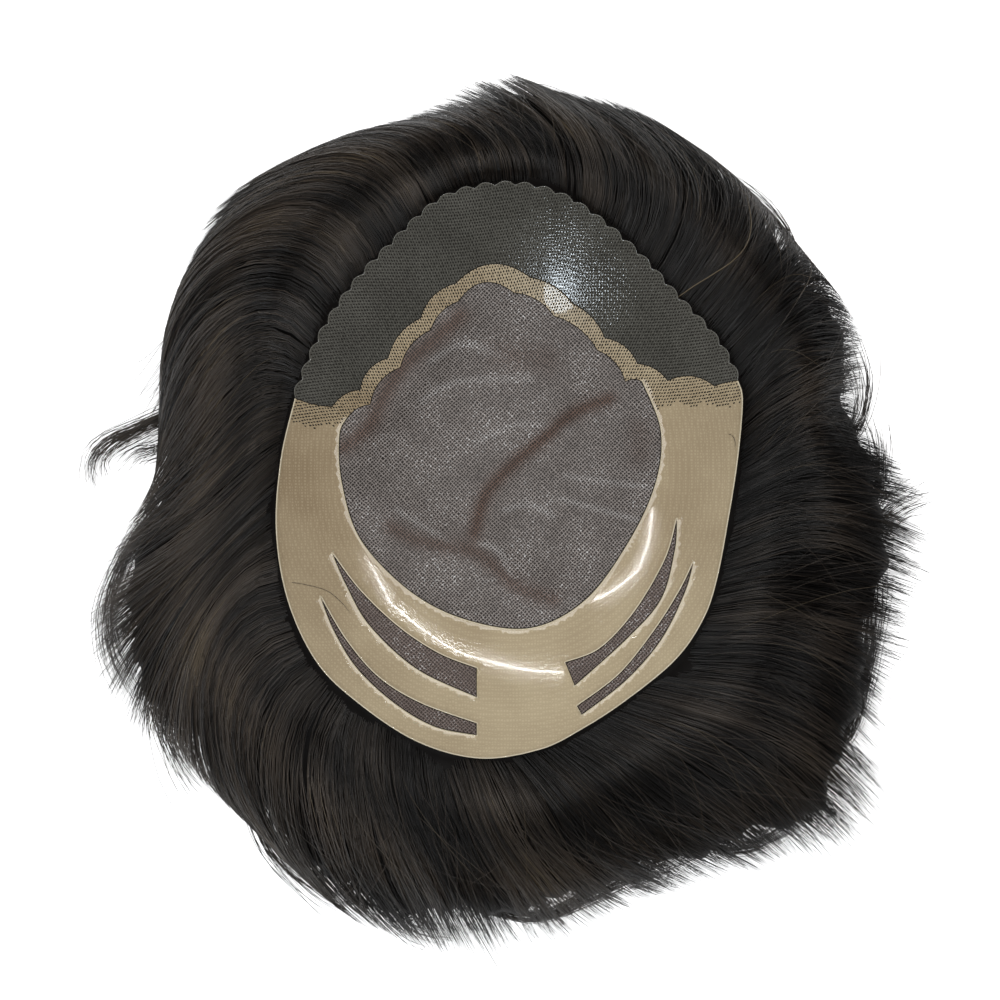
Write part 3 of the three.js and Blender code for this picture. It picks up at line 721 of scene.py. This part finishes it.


# The hair: brown-black human hair, about 15 cm long, knotted to the base's outer side and combed out.
# Under the loose locks it packs to a dark pile with a flat bottom, which carries the base; the pile is
# painted darker than the locks, as the shade deep in the hair.
HAIR_BELOW_RIM = 0.003
RIM_VALLEY = 0.003
VALLEY_REACH = 0.16
HAIR_EDGE_HEIGHT = 0.007
WAVE_HEIGHT = 0.0013
WAVES_ACROSS = 1.9
WAVE_SHIFT = 0.22
PILE_BELOW_LOCKS = 0.008
PILE_ROUNDS = 360
PILE_REACH = 0.85
BASE_CLEARANCE = 0.0006
HAIR_DARK = (0.0040, 0.0033, 0.0030)
HAIR_BROWN = (0.066, 0.051, 0.039)
HAIR_GOLD = (0.120, 0.092, 0.055)
# The sweep of the hair: a lock from a root at an angle (from the right, anticlockwise) passes two
# places and ends at a third, in shares of the base's half sizes
SWEEPS = [
    (0, (1.11, 0.10), (1.29, 0.19), (1.48, 0.18)),
    (7, (1.11, 0.24), (1.28, 0.31), (1.52, 0.33)),
    (13, (1.11, 0.35), (1.28, 0.45), (1.50, 0.46)),
    (18, (1.11, 0.49), (1.28, 0.60), (1.45, 0.60)),
    (24, (1.08, 0.57), (1.23, 0.72), (1.27, 0.76)),
    (30, (1.01, 0.67), (1.14, 0.84), (1.07, 0.93)),
    (37, (0.92, 0.76), (1.00, 0.95), (0.87, 1.11)),
    (45, (0.81, 0.90), (0.76, 1.09), (0.54, 1.27)),
    (55, (0.62, 0.97), (0.51, 1.16), (0.24, 1.31)),
    (67, (0.41, 1.06), (0.28, 1.23), (0.04, 1.38)),
    (77, (0.19, 1.12), (0.08, 1.24), (-0.10, 1.35)),
    (89, (-0.01, 1.11), (-0.11, 1.20), (-0.31, 1.26)),
    (103, (-0.31, 1.10), (-0.46, 1.20), (-0.78, 1.16)),
    (113, (-0.53, 1.06), (-0.79, 1.11), (-1.17, 1.00)),
    (126, (-0.78, 0.96), (-1.13, 0.91), (-1.41, 0.69)),
    (136, (-0.90, 0.85), (-1.26, 0.77), (-1.50, 0.47)),
    (145, (-1.00, 0.72), (-1.32, 0.62), (-1.51, 0.26)),
    (157, (-1.09, 0.51), (-1.33, 0.33), (-1.51, 0.00)),
    (163, (-1.10, 0.24), (-1.30, 0.06), (-1.60, -0.17)),
    (171, (-1.11, 0.03), (-1.34, -0.15), (-1.70, -0.35)),
    (177, (-1.14, -0.10), (-1.38, -0.31), (-1.76, -0.56)),
    (186, (-1.18, -0.24), (-1.43, -0.47), (-1.68, -0.79)),
    (197, (-1.20, -0.40), (-1.40, -0.67), (-1.46, -0.96)),
    (206, (-1.23, -0.53), (-1.32, -0.85), (-1.21, -1.17)),
    (216, (-1.15, -0.70), (-1.21, -1.01), (-0.97, -1.37)),
    (224, (-0.99, -0.93), (-1.00, -1.23), (-0.73, -1.55)),
    (230, (-0.75, -1.02), (-0.71, -1.30), (-0.51, -1.60)),
    (236, (-0.58, -1.07), (-0.48, -1.30), (-0.30, -1.62)),
    (244, (-0.42, -1.11), (-0.33, -1.32), (-0.16, -1.63)),
    (251, (-0.25, -1.13), (-0.15, -1.33), (0.02, -1.61)),
    (259, (-0.07, -1.15), (0.07, -1.34), (0.28, -1.57)),
    (269, (0.18, -1.14), (0.36, -1.31), (0.60, -1.46)),
    (280, (0.43, -1.04), (0.67, -1.19), (0.97, -1.38)),
    (292, (0.66, -0.92), (0.98, -1.04), (1.35, -1.30)),
    (303, (0.84, -0.80), (1.15, -0.87), (1.54, -1.12)),
    (313, (0.94, -0.67), (1.23, -0.69), (1.57, -0.86)),
    (323, (1.01, -0.54), (1.28, -0.55), (1.63, -0.66)),
    (332, (1.06, -0.38), (1.31, -0.36), (1.67, -0.44)),
    (341, (1.11, -0.21), (1.34, -0.17), (1.72, -0.27)),
    (352, (1.14, -0.03), (1.35, 0.02), (1.71, -0.04)),
]
# Hollows between waves of hair, darkened by painted shade: their angle, their share of the spread, the
# depth and the width
HOLLOWS = [(343, 0.62, 0.010, 0.013), (157, 0.22, 0.006, 0.013), (228, 0.42, 0.004, 0.010),
           (252, 0.86, 0.004, 0.012), (30, 0.62, 0.003, 0.012)]

rim_smooth = np.vstack([smooth_line(on_base(RIM_FRONT))[1:], rim_back[1:]])
rim_shares = rim_smooth / (HALF_WIDTH, HALF_LENGTH)
rim_angles = np.degrees(np.arctan2(rim_shares[:, 1], rim_shares[:, 0])) % 360


def by_degree(angles, values):
    """A column of a table by angle, read at each degree and smoothed round the full turn."""
    window = np.hanning(15)[1:-1]
    read = np.interp(np.arange(-6, 366), angles, values, period=360)
    return np.convolve(read, window / window.sum(), mode="valid")


def periodic(angles, values):
    return np.interp(angles % 360, np.arange(360), values, period=360)


def share_angles(plan):
    """The angles of places round the base, measured in shares of its half sizes."""
    return np.degrees(np.arctan2(plan[..., 1] / HALF_LENGTH, plan[..., 0] / HALF_WIDTH)) % 360


def rim_places(angles):
    turn = np.radians(angles)
    ray = np.stack([HALF_WIDTH * np.cos(turn), HALF_LENGTH * np.sin(turn)], axis=-1)
    return ray * periodic(angles, rim_degrees)[..., None]


def past_rim(plan):
    """How far places are beyond the rim, in metres."""
    rim = rim_places(share_angles(plan))
    return np.linalg.norm(plan, axis=-1) - np.linalg.norm(rim, axis=-1)


rim_degrees = np.interp(np.arange(360), rim_angles, np.linalg.norm(rim_shares, axis=1), period=360)
sweep_degrees = [rim_places(np.arange(360))]
for step in (1, 2, 3):
    columns = on_base([row[step] for row in SWEEPS]).T
    columns = [by_degree([row[0] for row in SWEEPS], column) for column in columns]
    sweep_degrees.append(np.column_stack(columns))
spread_degrees = by_degree(share_angles(sweep_degrees[3]), past_rim(sweep_degrees[3]))


def hair_plan(angles, reach):
    """Places in the hair, seen from above: out from the rim at an angle by a share of the spread."""
    rim = rim_places(angles)
    ray = rim / np.linalg.norm(rim, axis=-1, keepdims=True)
    return rim + ray * (reach * periodic(angles, spread_degrees))[..., None]


def place_in_hair(plan):
    """The angles of places in the hair, and how far out they are as a share of the spread."""
    angles = share_angles(plan)
    return angles, past_rim(plan) / periodic(angles, spread_degrees)


def swept(roots, shares):
    """Places of locks from roots, at shares of their length: a cubic through the sweep's places."""
    run = 3 * shares
    weights = (
        -(run - 1) * (run - 2) * (run - 3) / 6,
        run * (run - 2) * (run - 3) / 2,
        -run * (run - 1) * (run - 3) / 2,
        run * (run - 1) * (run - 2) / 6,
    )
    plan = 0
    for weight, step in zip(weights, sweep_degrees):
        places = [weight * periodic(roots, column) for column in step.T]
        plan = plan + np.stack(places, axis=-1)
    return plan


def hollows(plan):
    """How deep the hollows between the waves are at places in the hair, in metres."""
    depth = np.zeros(plan.shape[:-1])
    for angle, reach, deepest, width in HOLLOWS:
        middle = hair_plan(np.array([float(angle)]), np.array([reach]))[0]
        away = np.linalg.norm(plan - middle, axis=-1) / width
        depth += deepest * np.exp(-away ** 2)
    return depth


def waves(angles, reach):
    """The waves of the hair across the sweep, from 1 on a crest to -1 in a trough."""
    shift = WAVE_SHIFT * np.sin(np.radians(2 * angles + 40))
    return np.sin(2 * math.pi * (WAVES_ACROSS * reach + shift)) * np.clip(reach / 0.3, 0, 1)


def hair_top(angles, reach):
    """Height of the hair's rolled top: up from beside the rim, then down to the thin outer edge."""
    rim = rim_places(angles)
    crest = bowl(rim[..., 0], rim[..., 1]) - HAIR_BELOW_RIM
    outwards = np.clip((reach - 0.15) / 0.9, 0, 1)
    height = HAIR_EDGE_HEIGHT + (crest - HAIR_EDGE_HEIGHT) * np.sqrt(1 - outwards ** 2.2)
    valley = RIM_VALLEY * np.exp(-(np.maximum(reach, 0) / VALLEY_REACH) ** 2)
    height += WAVE_HEIGHT * waves(angles, reach) - valley
    return height - hollows(hair_plan(angles, reach))


def under_base(plan, height):
    """Heights kept clear of the base where they lie inside its rim."""
    ceiling = bowl(plan[..., 0], plan[..., 1]) - CAD_WALL - BASE_CLEARANCE
    return np.where(past_rim(plan) < 0.003, np.minimum(height, ceiling), height)


def pile_edge(angles):
    """How far out the pile reaches, uneven from one lock of it to the next."""
    turn = np.radians(angles)
    return PILE_REACH + 0.03 * np.sin(23 * turn) + 0.02 * np.sin(61 * turn + 1)


def pile_mesh():
    """Rings of points from the crown out over the top, down the side and back along the floor."""
    angles = np.arange(PILE_ROUNDS) * 360 / PILE_ROUNDS
    everywhere = np.ones(PILE_ROUNDS)
    rows = []
    for share in np.linspace(0.08, 1, 14):
        plan = share * hair_plan(angles, -0.02 * everywhere)
        rows.append(np.column_stack([plan, bowl(*plan.T) - CAD_WALL - BASE_CLEARANCE]))
    edge = pile_edge(angles)
    for share in np.linspace(0.04, 1, 20):
        sunk = PILE_BELOW_LOCKS * min(1, share / 0.2)
        top = hair_top(angles, share * edge) - sunk
        rows.append(np.column_stack([hair_plan(angles, share * edge), np.maximum(top, 0.002)]))
    for past, height in ((0.03, 0.6), (0.02, 0.3), (-0.02, 0.08), (-0.06, 0.02)):
        low = np.maximum(height * top, 0.0005)
        rows.append(np.column_stack([hair_plan(angles, edge + past), low]))
    rows.append(np.column_stack([hair_plan(angles, 0.5 * everywhere), 0.0004 * everywhere]))
    points = np.vstack(rows)
    points[:, :2] += BASE_CENTRE
    top = (*BASE_CENTRE, bowl(0, 0) - CAD_WALL - BASE_CLEARANCE)
    bottom = (*BASE_CENTRE, 0.0004)
    after = (np.arange(PILE_ROUNDS) + 1) % PILE_ROUNDS
    count = len(points)
    faces = [(count, i, after[i]) for i in range(PILE_ROUNDS)]
    for row in range(0, count - PILE_ROUNDS, PILE_ROUNDS):
        faces += [(row + i, row + PILE_ROUNDS + i, row + PILE_ROUNDS + after[i], row + after[i])
                  for i in range(PILE_ROUNDS)]
    last = count - PILE_ROUNDS
    faces += [(last + i, count + 1, last + after[i]) for i in range(PILE_ROUNDS)]
    mesh = bpy.data.meshes.new("hair_pile")
    mesh.from_pydata(points.tolist() + [top, bottom], [], faces)
    mesh.shade_smooth()
    return mesh


# The pile's colour, darker than the locks, is painted shade deep under them
pile_material, pile_wire, pile_shader = finish_of("pile_finish", Roughness=0.6,
                                                  Specular_IOR_Level=0.1)
feed(pile_shader, {"Base Color": on_surface(pile_wire).noise(300).mixed(
    HAIR_DARK, tuple(2 * share for share in HAIR_DARK))})
pile = in_scene("hair_under", pile_mesh())
pile.data.materials.append(pile_material)
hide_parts("crown_hair", "side_hair")
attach(pile, "root")


# The locks: strands that lie together in wisps and the wisps in locks, one over the other like
# shingles. Each leaves the knots under the rim, goes over the roll of the pile and sweeps
# anticlockwise down to its tip. Light is painted into the tone of the left side, so the hair is lightest
# there.
LOCK_COUNT = 96
WISPS_PER_LOCK = 9
STRANDS_PER_WISP = 9
STRAND_POINTS = 12
STRAND_RADIUS = 0.00019
STRAND_SIDES = 3
LOCK_SPAN = 5.6
WISP_SPAN = 0.15
LOCK_CROWN = 0.0030
# The side where light is painted into the hair's tone
LIGHTEST_SIDE = 190
# Degrees by which locks, wisps and strands stray from the sweep by their tips
LOCK_STRAY = 2.0
WISP_STRAY = 0.8
STRAND_STRAY = 0.5
# The middle tone, and how far it goes from lock to lock, wisp to wisp, strand to strand, to a lock's
# edges (painted shade between locks), along the broad locks, across the waves (painted highlight on
# the crests, painted shade in the troughs) and to the lightest side (painted light)
TONE = 0.38
TONE_BY_LOCK = 0.17
TONE_BY_WISP = 0.15
TONE_BY_STRAND = 0.09
PAINTED_SHADE_TO_EDGE = 0.14
TONE_ALONG_BROAD = 0.09
PAINTED_LIGHT_AND_SHADE_ACROSS_WAVES = 0.17
PAINTED_LIGHT_TO_SIDE = 0.19
# How much the hollows darken the tone, as painted shade in them
PAINTED_SHADE_IN_HOLLOW = 35
RIM_SHADE = 0.50


def strand_tree(material):
    """Geometry Nodes: each chain of edges becomes a three-sided strand, tapered by its points."""
    lines, radius, sides = started("strands", {
        "Strand radius": "NodeSocketFloat", "Sides": "NodeSocketInt"})
    curve = lines.node("GeometryNodeMeshToCurve", {}, {"Mesh": lines})
    section = lines.node("GeometryNodeCurvePrimitiveCircle", {}, {"Resolution": sides, "Radius": 1})
    taper = lines.node("GeometryNodeInputNamedAttribute", {"data_type": "FLOAT"}, {"Name": "taper"})
    return ended(lines.node("GeometryNodeCurveToMesh", {}, {
        "Curve": curve, "Profile Curve": section, "Scale": taper * radius, "Fill Caps": True}),
        material)


def strand_group(name, places, tone, radius, gold=0, thin_root=False):
    """A piece of strands: places in metres from the base's centre, and the tone at each."""
    strands, count = places.shape[:2]
    start = np.arange(strands)[:, None] * count + np.arange(count - 1)
    edges = np.stack([start, start + 1], axis=-1).reshape(-1, 2)
    points = places.reshape(-1, 3).copy()
    points[:, :2] += BASE_CENTRE
    mesh = bpy.data.meshes.new(name + "_lines")
    mesh.from_pydata(points.tolist(), edges.tolist(), [])
    along = np.linspace(0, 1, count)
    taper = np.clip(1.08 - along ** 8, 0.2, 1)
    if thin_root:
        taper *= np.clip(0.1 + 4 * along, 0, 1)
    values = {
        "taper": np.tile(taper, strands),
        "tone": np.clip(tone, 0, 1).ravel(),
        "gold": np.full(strands * count, float(gold)),
    }
    for label, numbers in values.items():
        mesh.attributes.new(label, "FLOAT", "POINT").data.foreach_set("value", numbers)
    piece = grown(name, mesh, strands_tree, (radius, STRAND_SIDES))
    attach(piece, "root")
    return piece


def fanned_roots(places):
    """Root angles from places in even steps round the outline: closer where the sweep fans out."""
    steps = [np.linalg.norm(np.roll(step, -1, axis=0) - step, axis=1) for step in sweep_degrees]
    run = np.append(0, np.cumsum(steps[0] + steps[2] + steps[3]))
    return np.interp(places % 360, 360 * run / run[-1], np.arange(361))


def lock_strands(roots, shaker, depths, tips, more_turn):
    """The strands of locks rooted at angles, and their tones. depths is the range of how low the
    locks lie, from 0 in the top layer to 1 at the floor; tips is the range of their lengths."""
    locks = len(roots)
    lock = np.repeat(np.arange(locks), WISPS_PER_LOCK * STRANDS_PER_WISP)
    wisp = np.repeat(np.arange(locks * WISPS_PER_LOCK), STRANDS_PER_WISP)
    count = len(lock)

    def per_lock(low, high):
        return shaker.uniform(low, high, locks)[lock][:, None]

    def per_wisp(spread):
        return shaker.normal(0, spread, locks * WISPS_PER_LOCK)[wisp][:, None]

    def per_strand(spread):
        return shaker.normal(0, spread, count)[:, None]

    shares = np.linspace(0, 1, STRAND_POINTS)[None, :]
    beside = shaker.uniform(-1, 1, locks * WISPS_PER_LOCK)[wisp][:, None] + per_strand(WISP_SPAN)
    gather = 1 - 0.2 * shares ** 1.5
    root = roots[lock][:, None] + LOCK_SPAN * beside * gather + more_turn * shares ** 1.5
    wave = per_lock(0, 2 * math.pi) + per_wisp(0.4) + 2 * math.pi * 1.2 * shares
    stray = per_lock(-LOCK_STRAY, LOCK_STRAY) + per_wisp(WISP_STRAY) + 0.8 * np.sin(wave)
    root += (stray + per_strand(STRAND_STRAY)) * shares
    length = per_lock(0.98, 1.04) * (1 + per_wisp(0.012)) * shaker.uniform(*tips, count)[:, None]
    angle, reach = place_in_hair(swept(root, shares * length))
    reach -= 0.12 * (1 - shares) ** 4
    plan = hair_plan(angle, reach)
    arch = np.sin(math.pi * np.clip(shares, 0.05, 0.95))
    broad = np.sin(np.radians(11 * root + 60)) + np.sin(np.radians(17 * root))
    height = hair_top(angle, reach) * (1 - per_lock(*depths)) - 0.0015
    height += per_lock(-0.0010, 0.0018) + 0.0006 * broad * arch
    height += (LOCK_CROWN * (1 - beside ** 2) + per_wisp(0.0006)) * arch
    height -= np.abs(per_strand(0.0005))
    floor = 0.0006 + 0.0009 * shaker.random(count)[:, None]
    height = np.maximum(under_base(plan, height), floor)
    tone = TONE + per_lock(-TONE_BY_LOCK, TONE_BY_LOCK) + per_wisp(TONE_BY_WISP)
    # Painted shade towards each lock's edges
    tone = tone + per_strand(TONE_BY_STRAND) - PAINTED_SHADE_TO_EDGE * beside ** 2
    # Painted highlight on the waves' crests and painted shade in their troughs
    tone = tone + TONE_ALONG_BROAD * broad + PAINTED_LIGHT_AND_SHADE_ACROSS_WAVES * waves(angle, reach)
    # Painted light towards the lightest side
    tone = tone + PAINTED_LIGHT_TO_SIDE * np.cos(np.radians(angle - LIGHTEST_SIDE))
    out_of_shade = np.clip((reach - 0.02) / 0.30, 0, 1)
    # Painted shade beside the rim and in the hollows
    tone = tone * (1 - RIM_SHADE * (1 - out_of_shade)) - PAINTED_SHADE_IN_HOLLOW * hollows(plan)
    return np.dstack([plan, height]), tone


hair_material, hair_wire, hair_shader = finish_of("hair_finish", Roughness=0.36,
                                                  Specular_IOR_Level=0.32)
hair_tone = attribute(hair_wire, "tone")
hair_gold = (hair_tone.between(0.80, 1.0) * 0.6).maths(
    "MAXIMUM", hair_tone.between(0.80, 1.0) * 0.6, attribute(hair_wire, "gold"))
feed(hair_shader, {"Base Color": hair_gold.mixed(
    hair_tone.between(0.05, 1.0).mixed(HAIR_DARK, HAIR_BROWN), HAIR_GOLD)})
strands_tree = strand_tree(hair_material)

# Lower locks fill the side between the top of the roll and the floor, and fringe the outline
side_shaker = np.random.default_rng(31)
side_roots = fanned_roots(np.arange(0, 360, 360 / 32) + side_shaker.uniform(-4, 4, 32))
strand_group("side_locks", *lock_strands(side_roots, side_shaker, (0.15, 0.80), (0.92, 1.05), 3),
             1.5 * STRAND_RADIUS)

# The top layer, in four quarters round the base
QUARTERS = {"right_locks": 315, "front_locks": 45, "left_locks": 135, "nape_locks": 225}
for number, (name, first) in enumerate(QUARTERS.items()):
    shaker = np.random.default_rng(41 + number)
    step = 360 / LOCK_COUNT
    roots = first + step * (np.arange(LOCK_COUNT // 4) + shaker.uniform(-0.4, 0.4, LOCK_COUNT // 4))
    roots = fanned_roots(roots)
    strand_group(name, *lock_strands(roots, shaker, (0.0, 0.07), (0.94, 1.05), 0), STRAND_RADIUS)


# Tufts: tips that have come away from the locks and stand out past the outline, thinner and lighter.
TUFT_WIDTH = 0.0075
TUFT_RADIUS = 0.00014
# Each tuft's line in shares of the base's half sizes, its strands and its width as a share
TUFTS = [
    ([(-1.24, 0.70), (-1.38, 0.50), (-1.50, 0.32), (-1.62, 0.18)], 44, 1.2),
    ([(-1.20, 0.40), (-1.38, 0.24), (-1.58, 0.15), (-1.74, 0.08), (-1.79, 0.00), (-1.74, -0.10)],
     100, 0.8),
    ([(-1.30, 0.24), (-1.48, 0.10), (-1.62, 0.05), (-1.70, -0.04)], 40, 0.9),
    ([(-1.36, 0.02), (-1.60, -0.22), (-1.73, -0.46), (-1.71, -0.66), (-1.60, -0.82)], 70, 0.9),
    ([(-1.42, -0.46), (-1.52, -0.78), (-1.44, -1.02), (-1.30, -1.18)], 60, 0.9),
    ([(-1.20, -0.98), (-1.06, -1.30), (-0.88, -1.46), (-0.68, -1.56)], 50, 0.8),
    ([(-0.76, -1.22), (-0.58, -1.48), (-0.40, -1.60), (-0.22, -1.62)], 44, 0.9),
    ([(-0.20, -1.51), (0.10, -1.57), (0.40, -1.48), (0.70, -1.36), (0.92, -1.28)], 70, 0.7),
    ([(0.70, -1.26), (0.96, -1.33), (1.20, -1.26), (1.40, -1.10)], 50, 0.6),
    ([(1.30, -1.00), (1.46, -0.92), (1.54, -0.70), (1.57, -0.46), (1.54, -0.26)], 110, 0.9),
    ([(1.38, -0.44), (1.52, -0.26), (1.68, -0.12), (1.85, -0.06)], 84, 1.2),
    ([(1.40, -0.30), (1.56, -0.14), (1.60, 0.05), (1.56, 0.22)], 70, 0.9),
    ([(1.36, 0.02), (1.50, 0.16), (1.53, 0.32), (1.46, 0.48)], 44, 0.7),
    ([(1.20, 0.66), (1.22, 0.80), (1.10, 0.94), (0.92, 1.04)], 30, 0.5),
    ([(0.36, 1.16), (0.30, 1.28), (0.16, 1.33), (-0.02, 1.32)], 24, 0.5),
    ([(-0.92, 0.86), (-1.10, 0.84), (-1.24, 0.76), (-1.36, 0.66)], 30, 0.5),
]


def tuft_strands(line, strands, width, shaker):
    """Strands along a line, which fan out towards their tips and end at different lengths."""
    path = on_base(line)
    shares = np.linspace(0, 1, STRAND_POINTS)[None, :]
    reach = shaker.uniform(0.5, 1.0, strands)[:, None] * shares
    places = catmull_rom(path, (reach * (len(path) - 1)).ravel()).reshape(strands, STRAND_POINTS, 2)
    along = np.gradient(places, axis=1)
    along /= np.linalg.norm(along, axis=2, keepdims=True)
    fan = shaker.normal(0, 0.5, strands)[:, None] * (0.4 + 0.6 * reach)
    fan += shaker.normal(0, 0.55, strands)[:, None] * reach ** 2
    fan += 0.10 * np.sin(2 * math.pi * (1.3 * shares + shaker.random(strands)[:, None]))
    offset = (TUFT_WIDTH * width * fan)[..., None]
    plan = places + offset * np.dstack([-along[..., 1], along[..., 0]])
    height = 0.009 - 0.005 * shares + 0.0025 * shaker.random(strands)[:, None]
    tone = np.repeat(shaker.normal(0.55, 0.2, strands)[:, None], STRAND_POINTS, axis=1)
    return np.dstack([plan, height]), tone


tuft_shaker = np.random.default_rng(61)
tufts = [tuft_strands(*row, tuft_shaker) for row in TUFTS]
strand_group("outline_tufts", np.vstack([places for places, tone in tufts]),
             np.vstack([tone for places, tone in tufts]), TUFT_RADIUS, thin_root=True)


# Flyaways: single fine hairs that stand off the locks, cross them, and stray past the outline.
FLYAWAY_COUNT = 520
FLYAWAY_RADIUS = 0.00008
FLYAWAY_POINTS = 9


def flyaways():
    shaker = np.random.default_rng(71)
    shares = np.linspace(0, 1, FLYAWAY_POINTS)
    first = shaker.uniform(0.1, 0.7, FLYAWAY_COUNT)[:, None]
    last = shaker.uniform(0.80, 1.07, FLYAWAY_COUNT)[:, None]
    stray = shaker.normal(0, 5.0, (2, FLYAWAY_COUNT))[..., None]
    root = shaker.uniform(0, 360, FLYAWAY_COUNT)[:, None] + stray[0] * shares + stray[1] * shares ** 2
    plan = swept(root, first + (last - first) * shares)
    angle, reach = place_in_hair(plan)
    lift = shaker.uniform(0.0010, 0.0045, FLYAWAY_COUNT)[:, None] * np.sin(math.pi * shares * 0.8)
    height = np.maximum(hair_top(angle, reach) + 0.0012 + lift, 0.002)
    tone = np.repeat(shaker.normal(0.6, 0.2, FLYAWAY_COUNT)[:, None], FLYAWAY_POINTS, axis=1)
    return np.dstack([plan, height]), tone


strand_group("flyaway_hairs", *flyaways(), FLYAWAY_RADIUS, thin_root=True)


# Loose hairs: one golden hair that lies over the front right locks, and two that fell on the poly.
LOOSE_RADIUS = 0.00022
GOLDEN_HAIR = [(0.72, 0.60), (0.79, 0.64), (0.87, 0.68), (0.96, 0.73), (1.02, 0.79), (1.04, 0.87),
               (1.02, 0.97)]
HAIRS_ON_POLY = [
    [(-0.93, -0.39), (-0.86, -0.40), (-0.78, -0.42), (-0.72, -0.46), (-0.68, -0.50)],
    [(0.94, 0.125), (0.955, 0.12), (0.965, 0.105), (0.968, 0.09), (0.966, 0.08)],
]

golden = smooth_line(on_base(GOLDEN_HAIR), 24)
golden_height = hair_top(*place_in_hair(golden)) + 0.0035
strand_group("golden_hair", np.column_stack([golden, golden_height])[None], np.full((1, 25), 0.9),
             1.3 * LOOSE_RADIUS, gold=1)
fallen = np.array([smooth_line(on_base(line), 12) for line in HAIRS_ON_POLY])
fallen_height = bowl(fallen[..., 0], fallen[..., 1]) + LOOSE_RADIUS + 0.0004
strand_group("fallen_hairs", np.dstack([fallen, fallen_height]), np.full((2, 13), 0.7),
             0.5 * LOOSE_RADIUS)


# The studio: a plain white table, a large soft light overhead, two rows of narrow lights whose
# reflection is the thin line of gloss on the poly, and a small bluish light for the gloss on the skin.
FLOOR_SIZE = 3.0
FLOOR_WHITE = (0.92, 0.92, 0.92, 1)
FLOOR_GLOW = 0.80
OVERHEAD_POWER = 41
WORLD_LIGHT = 0.14
CAMERA_HEIGHT = 4.0
PHOTO_WIDTH = 0.396
PHOTO_CENTRE = (-0.0040, -0.0013)
RIM_HEIGHT = 0.050
SENSOR = 0.036
HAIRLINE_LIGHT = (-0.27, -0.79, 0.83)
HAIRLINE_SIZE = (0.18, 0.18)
HAIRLINE_POWER = 2.0
# The arc's two rows of lights, from joint to joint, and their width and power to a metre
ARC_LIGHTS = [
    [(0.78, 0.39, 0.85), (0.63, 0.63, 0.83), (0.30, 0.84, 0.83), (-0.11, 0.91, 0.79),
     (-0.28, 0.90, 0.755)],
    [(-0.46, 0.65, 0.93), (-0.59, 0.58, 0.90), (-0.70, 0.49, 0.873), (-0.76, 0.37, 0.879),
     (-0.80, 0.20, 0.906)],
]
ARC_WIDTH = 0.007
ARC_POWER = 1.5

floor_mesh = bpy.data.meshes.new("table")
half = FLOOR_SIZE / 2
floor_mesh.from_pydata([(-half, -half, 0), (half, -half, 0), (half, half, 0), (-half, half, 0)], [],
                       [(0, 1, 2, 3)])
floor = in_scene("table", floor_mesh)
floor_mesh.materials.append(finish_of("table_finish", Roughness=0.9, Base_Color=FLOOR_WHITE,
                                      Emission_Color=(1, 1, 1, 1), Emission_Strength=FLOOR_GLOW)[0])


def area_light(name, place, aim, size, power):
    lamp = bpy.data.lights.new(name, "AREA")
    lamp.shape = "RECTANGLE"
    lamp.size, lamp.size_y = size
    lamp.energy = power
    holder = in_scene(name, lamp)
    holder.location = place
    holder.rotation_euler = (Vector(aim) - Vector(place)).to_track_quat("-Z", "Y").to_euler()
    return holder


area_light("overhead_light", (0, 0, 2.2), (0, 0, 0), (2.0, 2.0), OVERHEAD_POWER)
joints = [pair for line in ARC_LIGHTS for pair in zip(line, line[1:])]
for number, (start, end) in enumerate(joints):
    middle = (Vector(start) + Vector(end)) / 2
    run = (Vector(end) - Vector(start)).length
    strip = area_light(f"arc_light_{number}", middle, (0, 0, 0.03), (run, ARC_WIDTH), ARC_POWER * run)
    backwards = middle.normalized()
    across = backwards.cross(Vector(end) - Vector(start)).normalized()
    strip.rotation_euler = turned_to(across.cross(backwards), across, backwards)
hairline_light = area_light("hairline_light", HAIRLINE_LIGHT, (0, 0.06, 0.05), HAIRLINE_SIZE,
                            HAIRLINE_POWER)
hairline_light.data.shape = "ELLIPSE"
hairline_light.data.color = (0.82, 0.92, 1.0)

world = bpy.data.worlds.new("studio")
bpy.context.scene.world = world
world.use_nodes = True
world.node_tree.nodes["Background"].inputs["Color"].default_value = (1, 1, 1, 1)
world.node_tree.nodes["Background"].inputs["Strength"].default_value = WORLD_LIGHT
bpy.context.scene.view_settings.view_transform = "Standard"

lens = bpy.data.cameras.new("camera")
lens.sensor_width = 1000 * SENSOR
lens.lens = 1000 * SENSOR * (CAMERA_HEIGHT - RIM_HEIGHT) / PHOTO_WIDTH
lens.clip_end = 20
camera = in_scene("camera", lens)
camera.location = (*PHOTO_CENTRE, CAMERA_HEIGHT)
bpy.context.scene.camera = camera
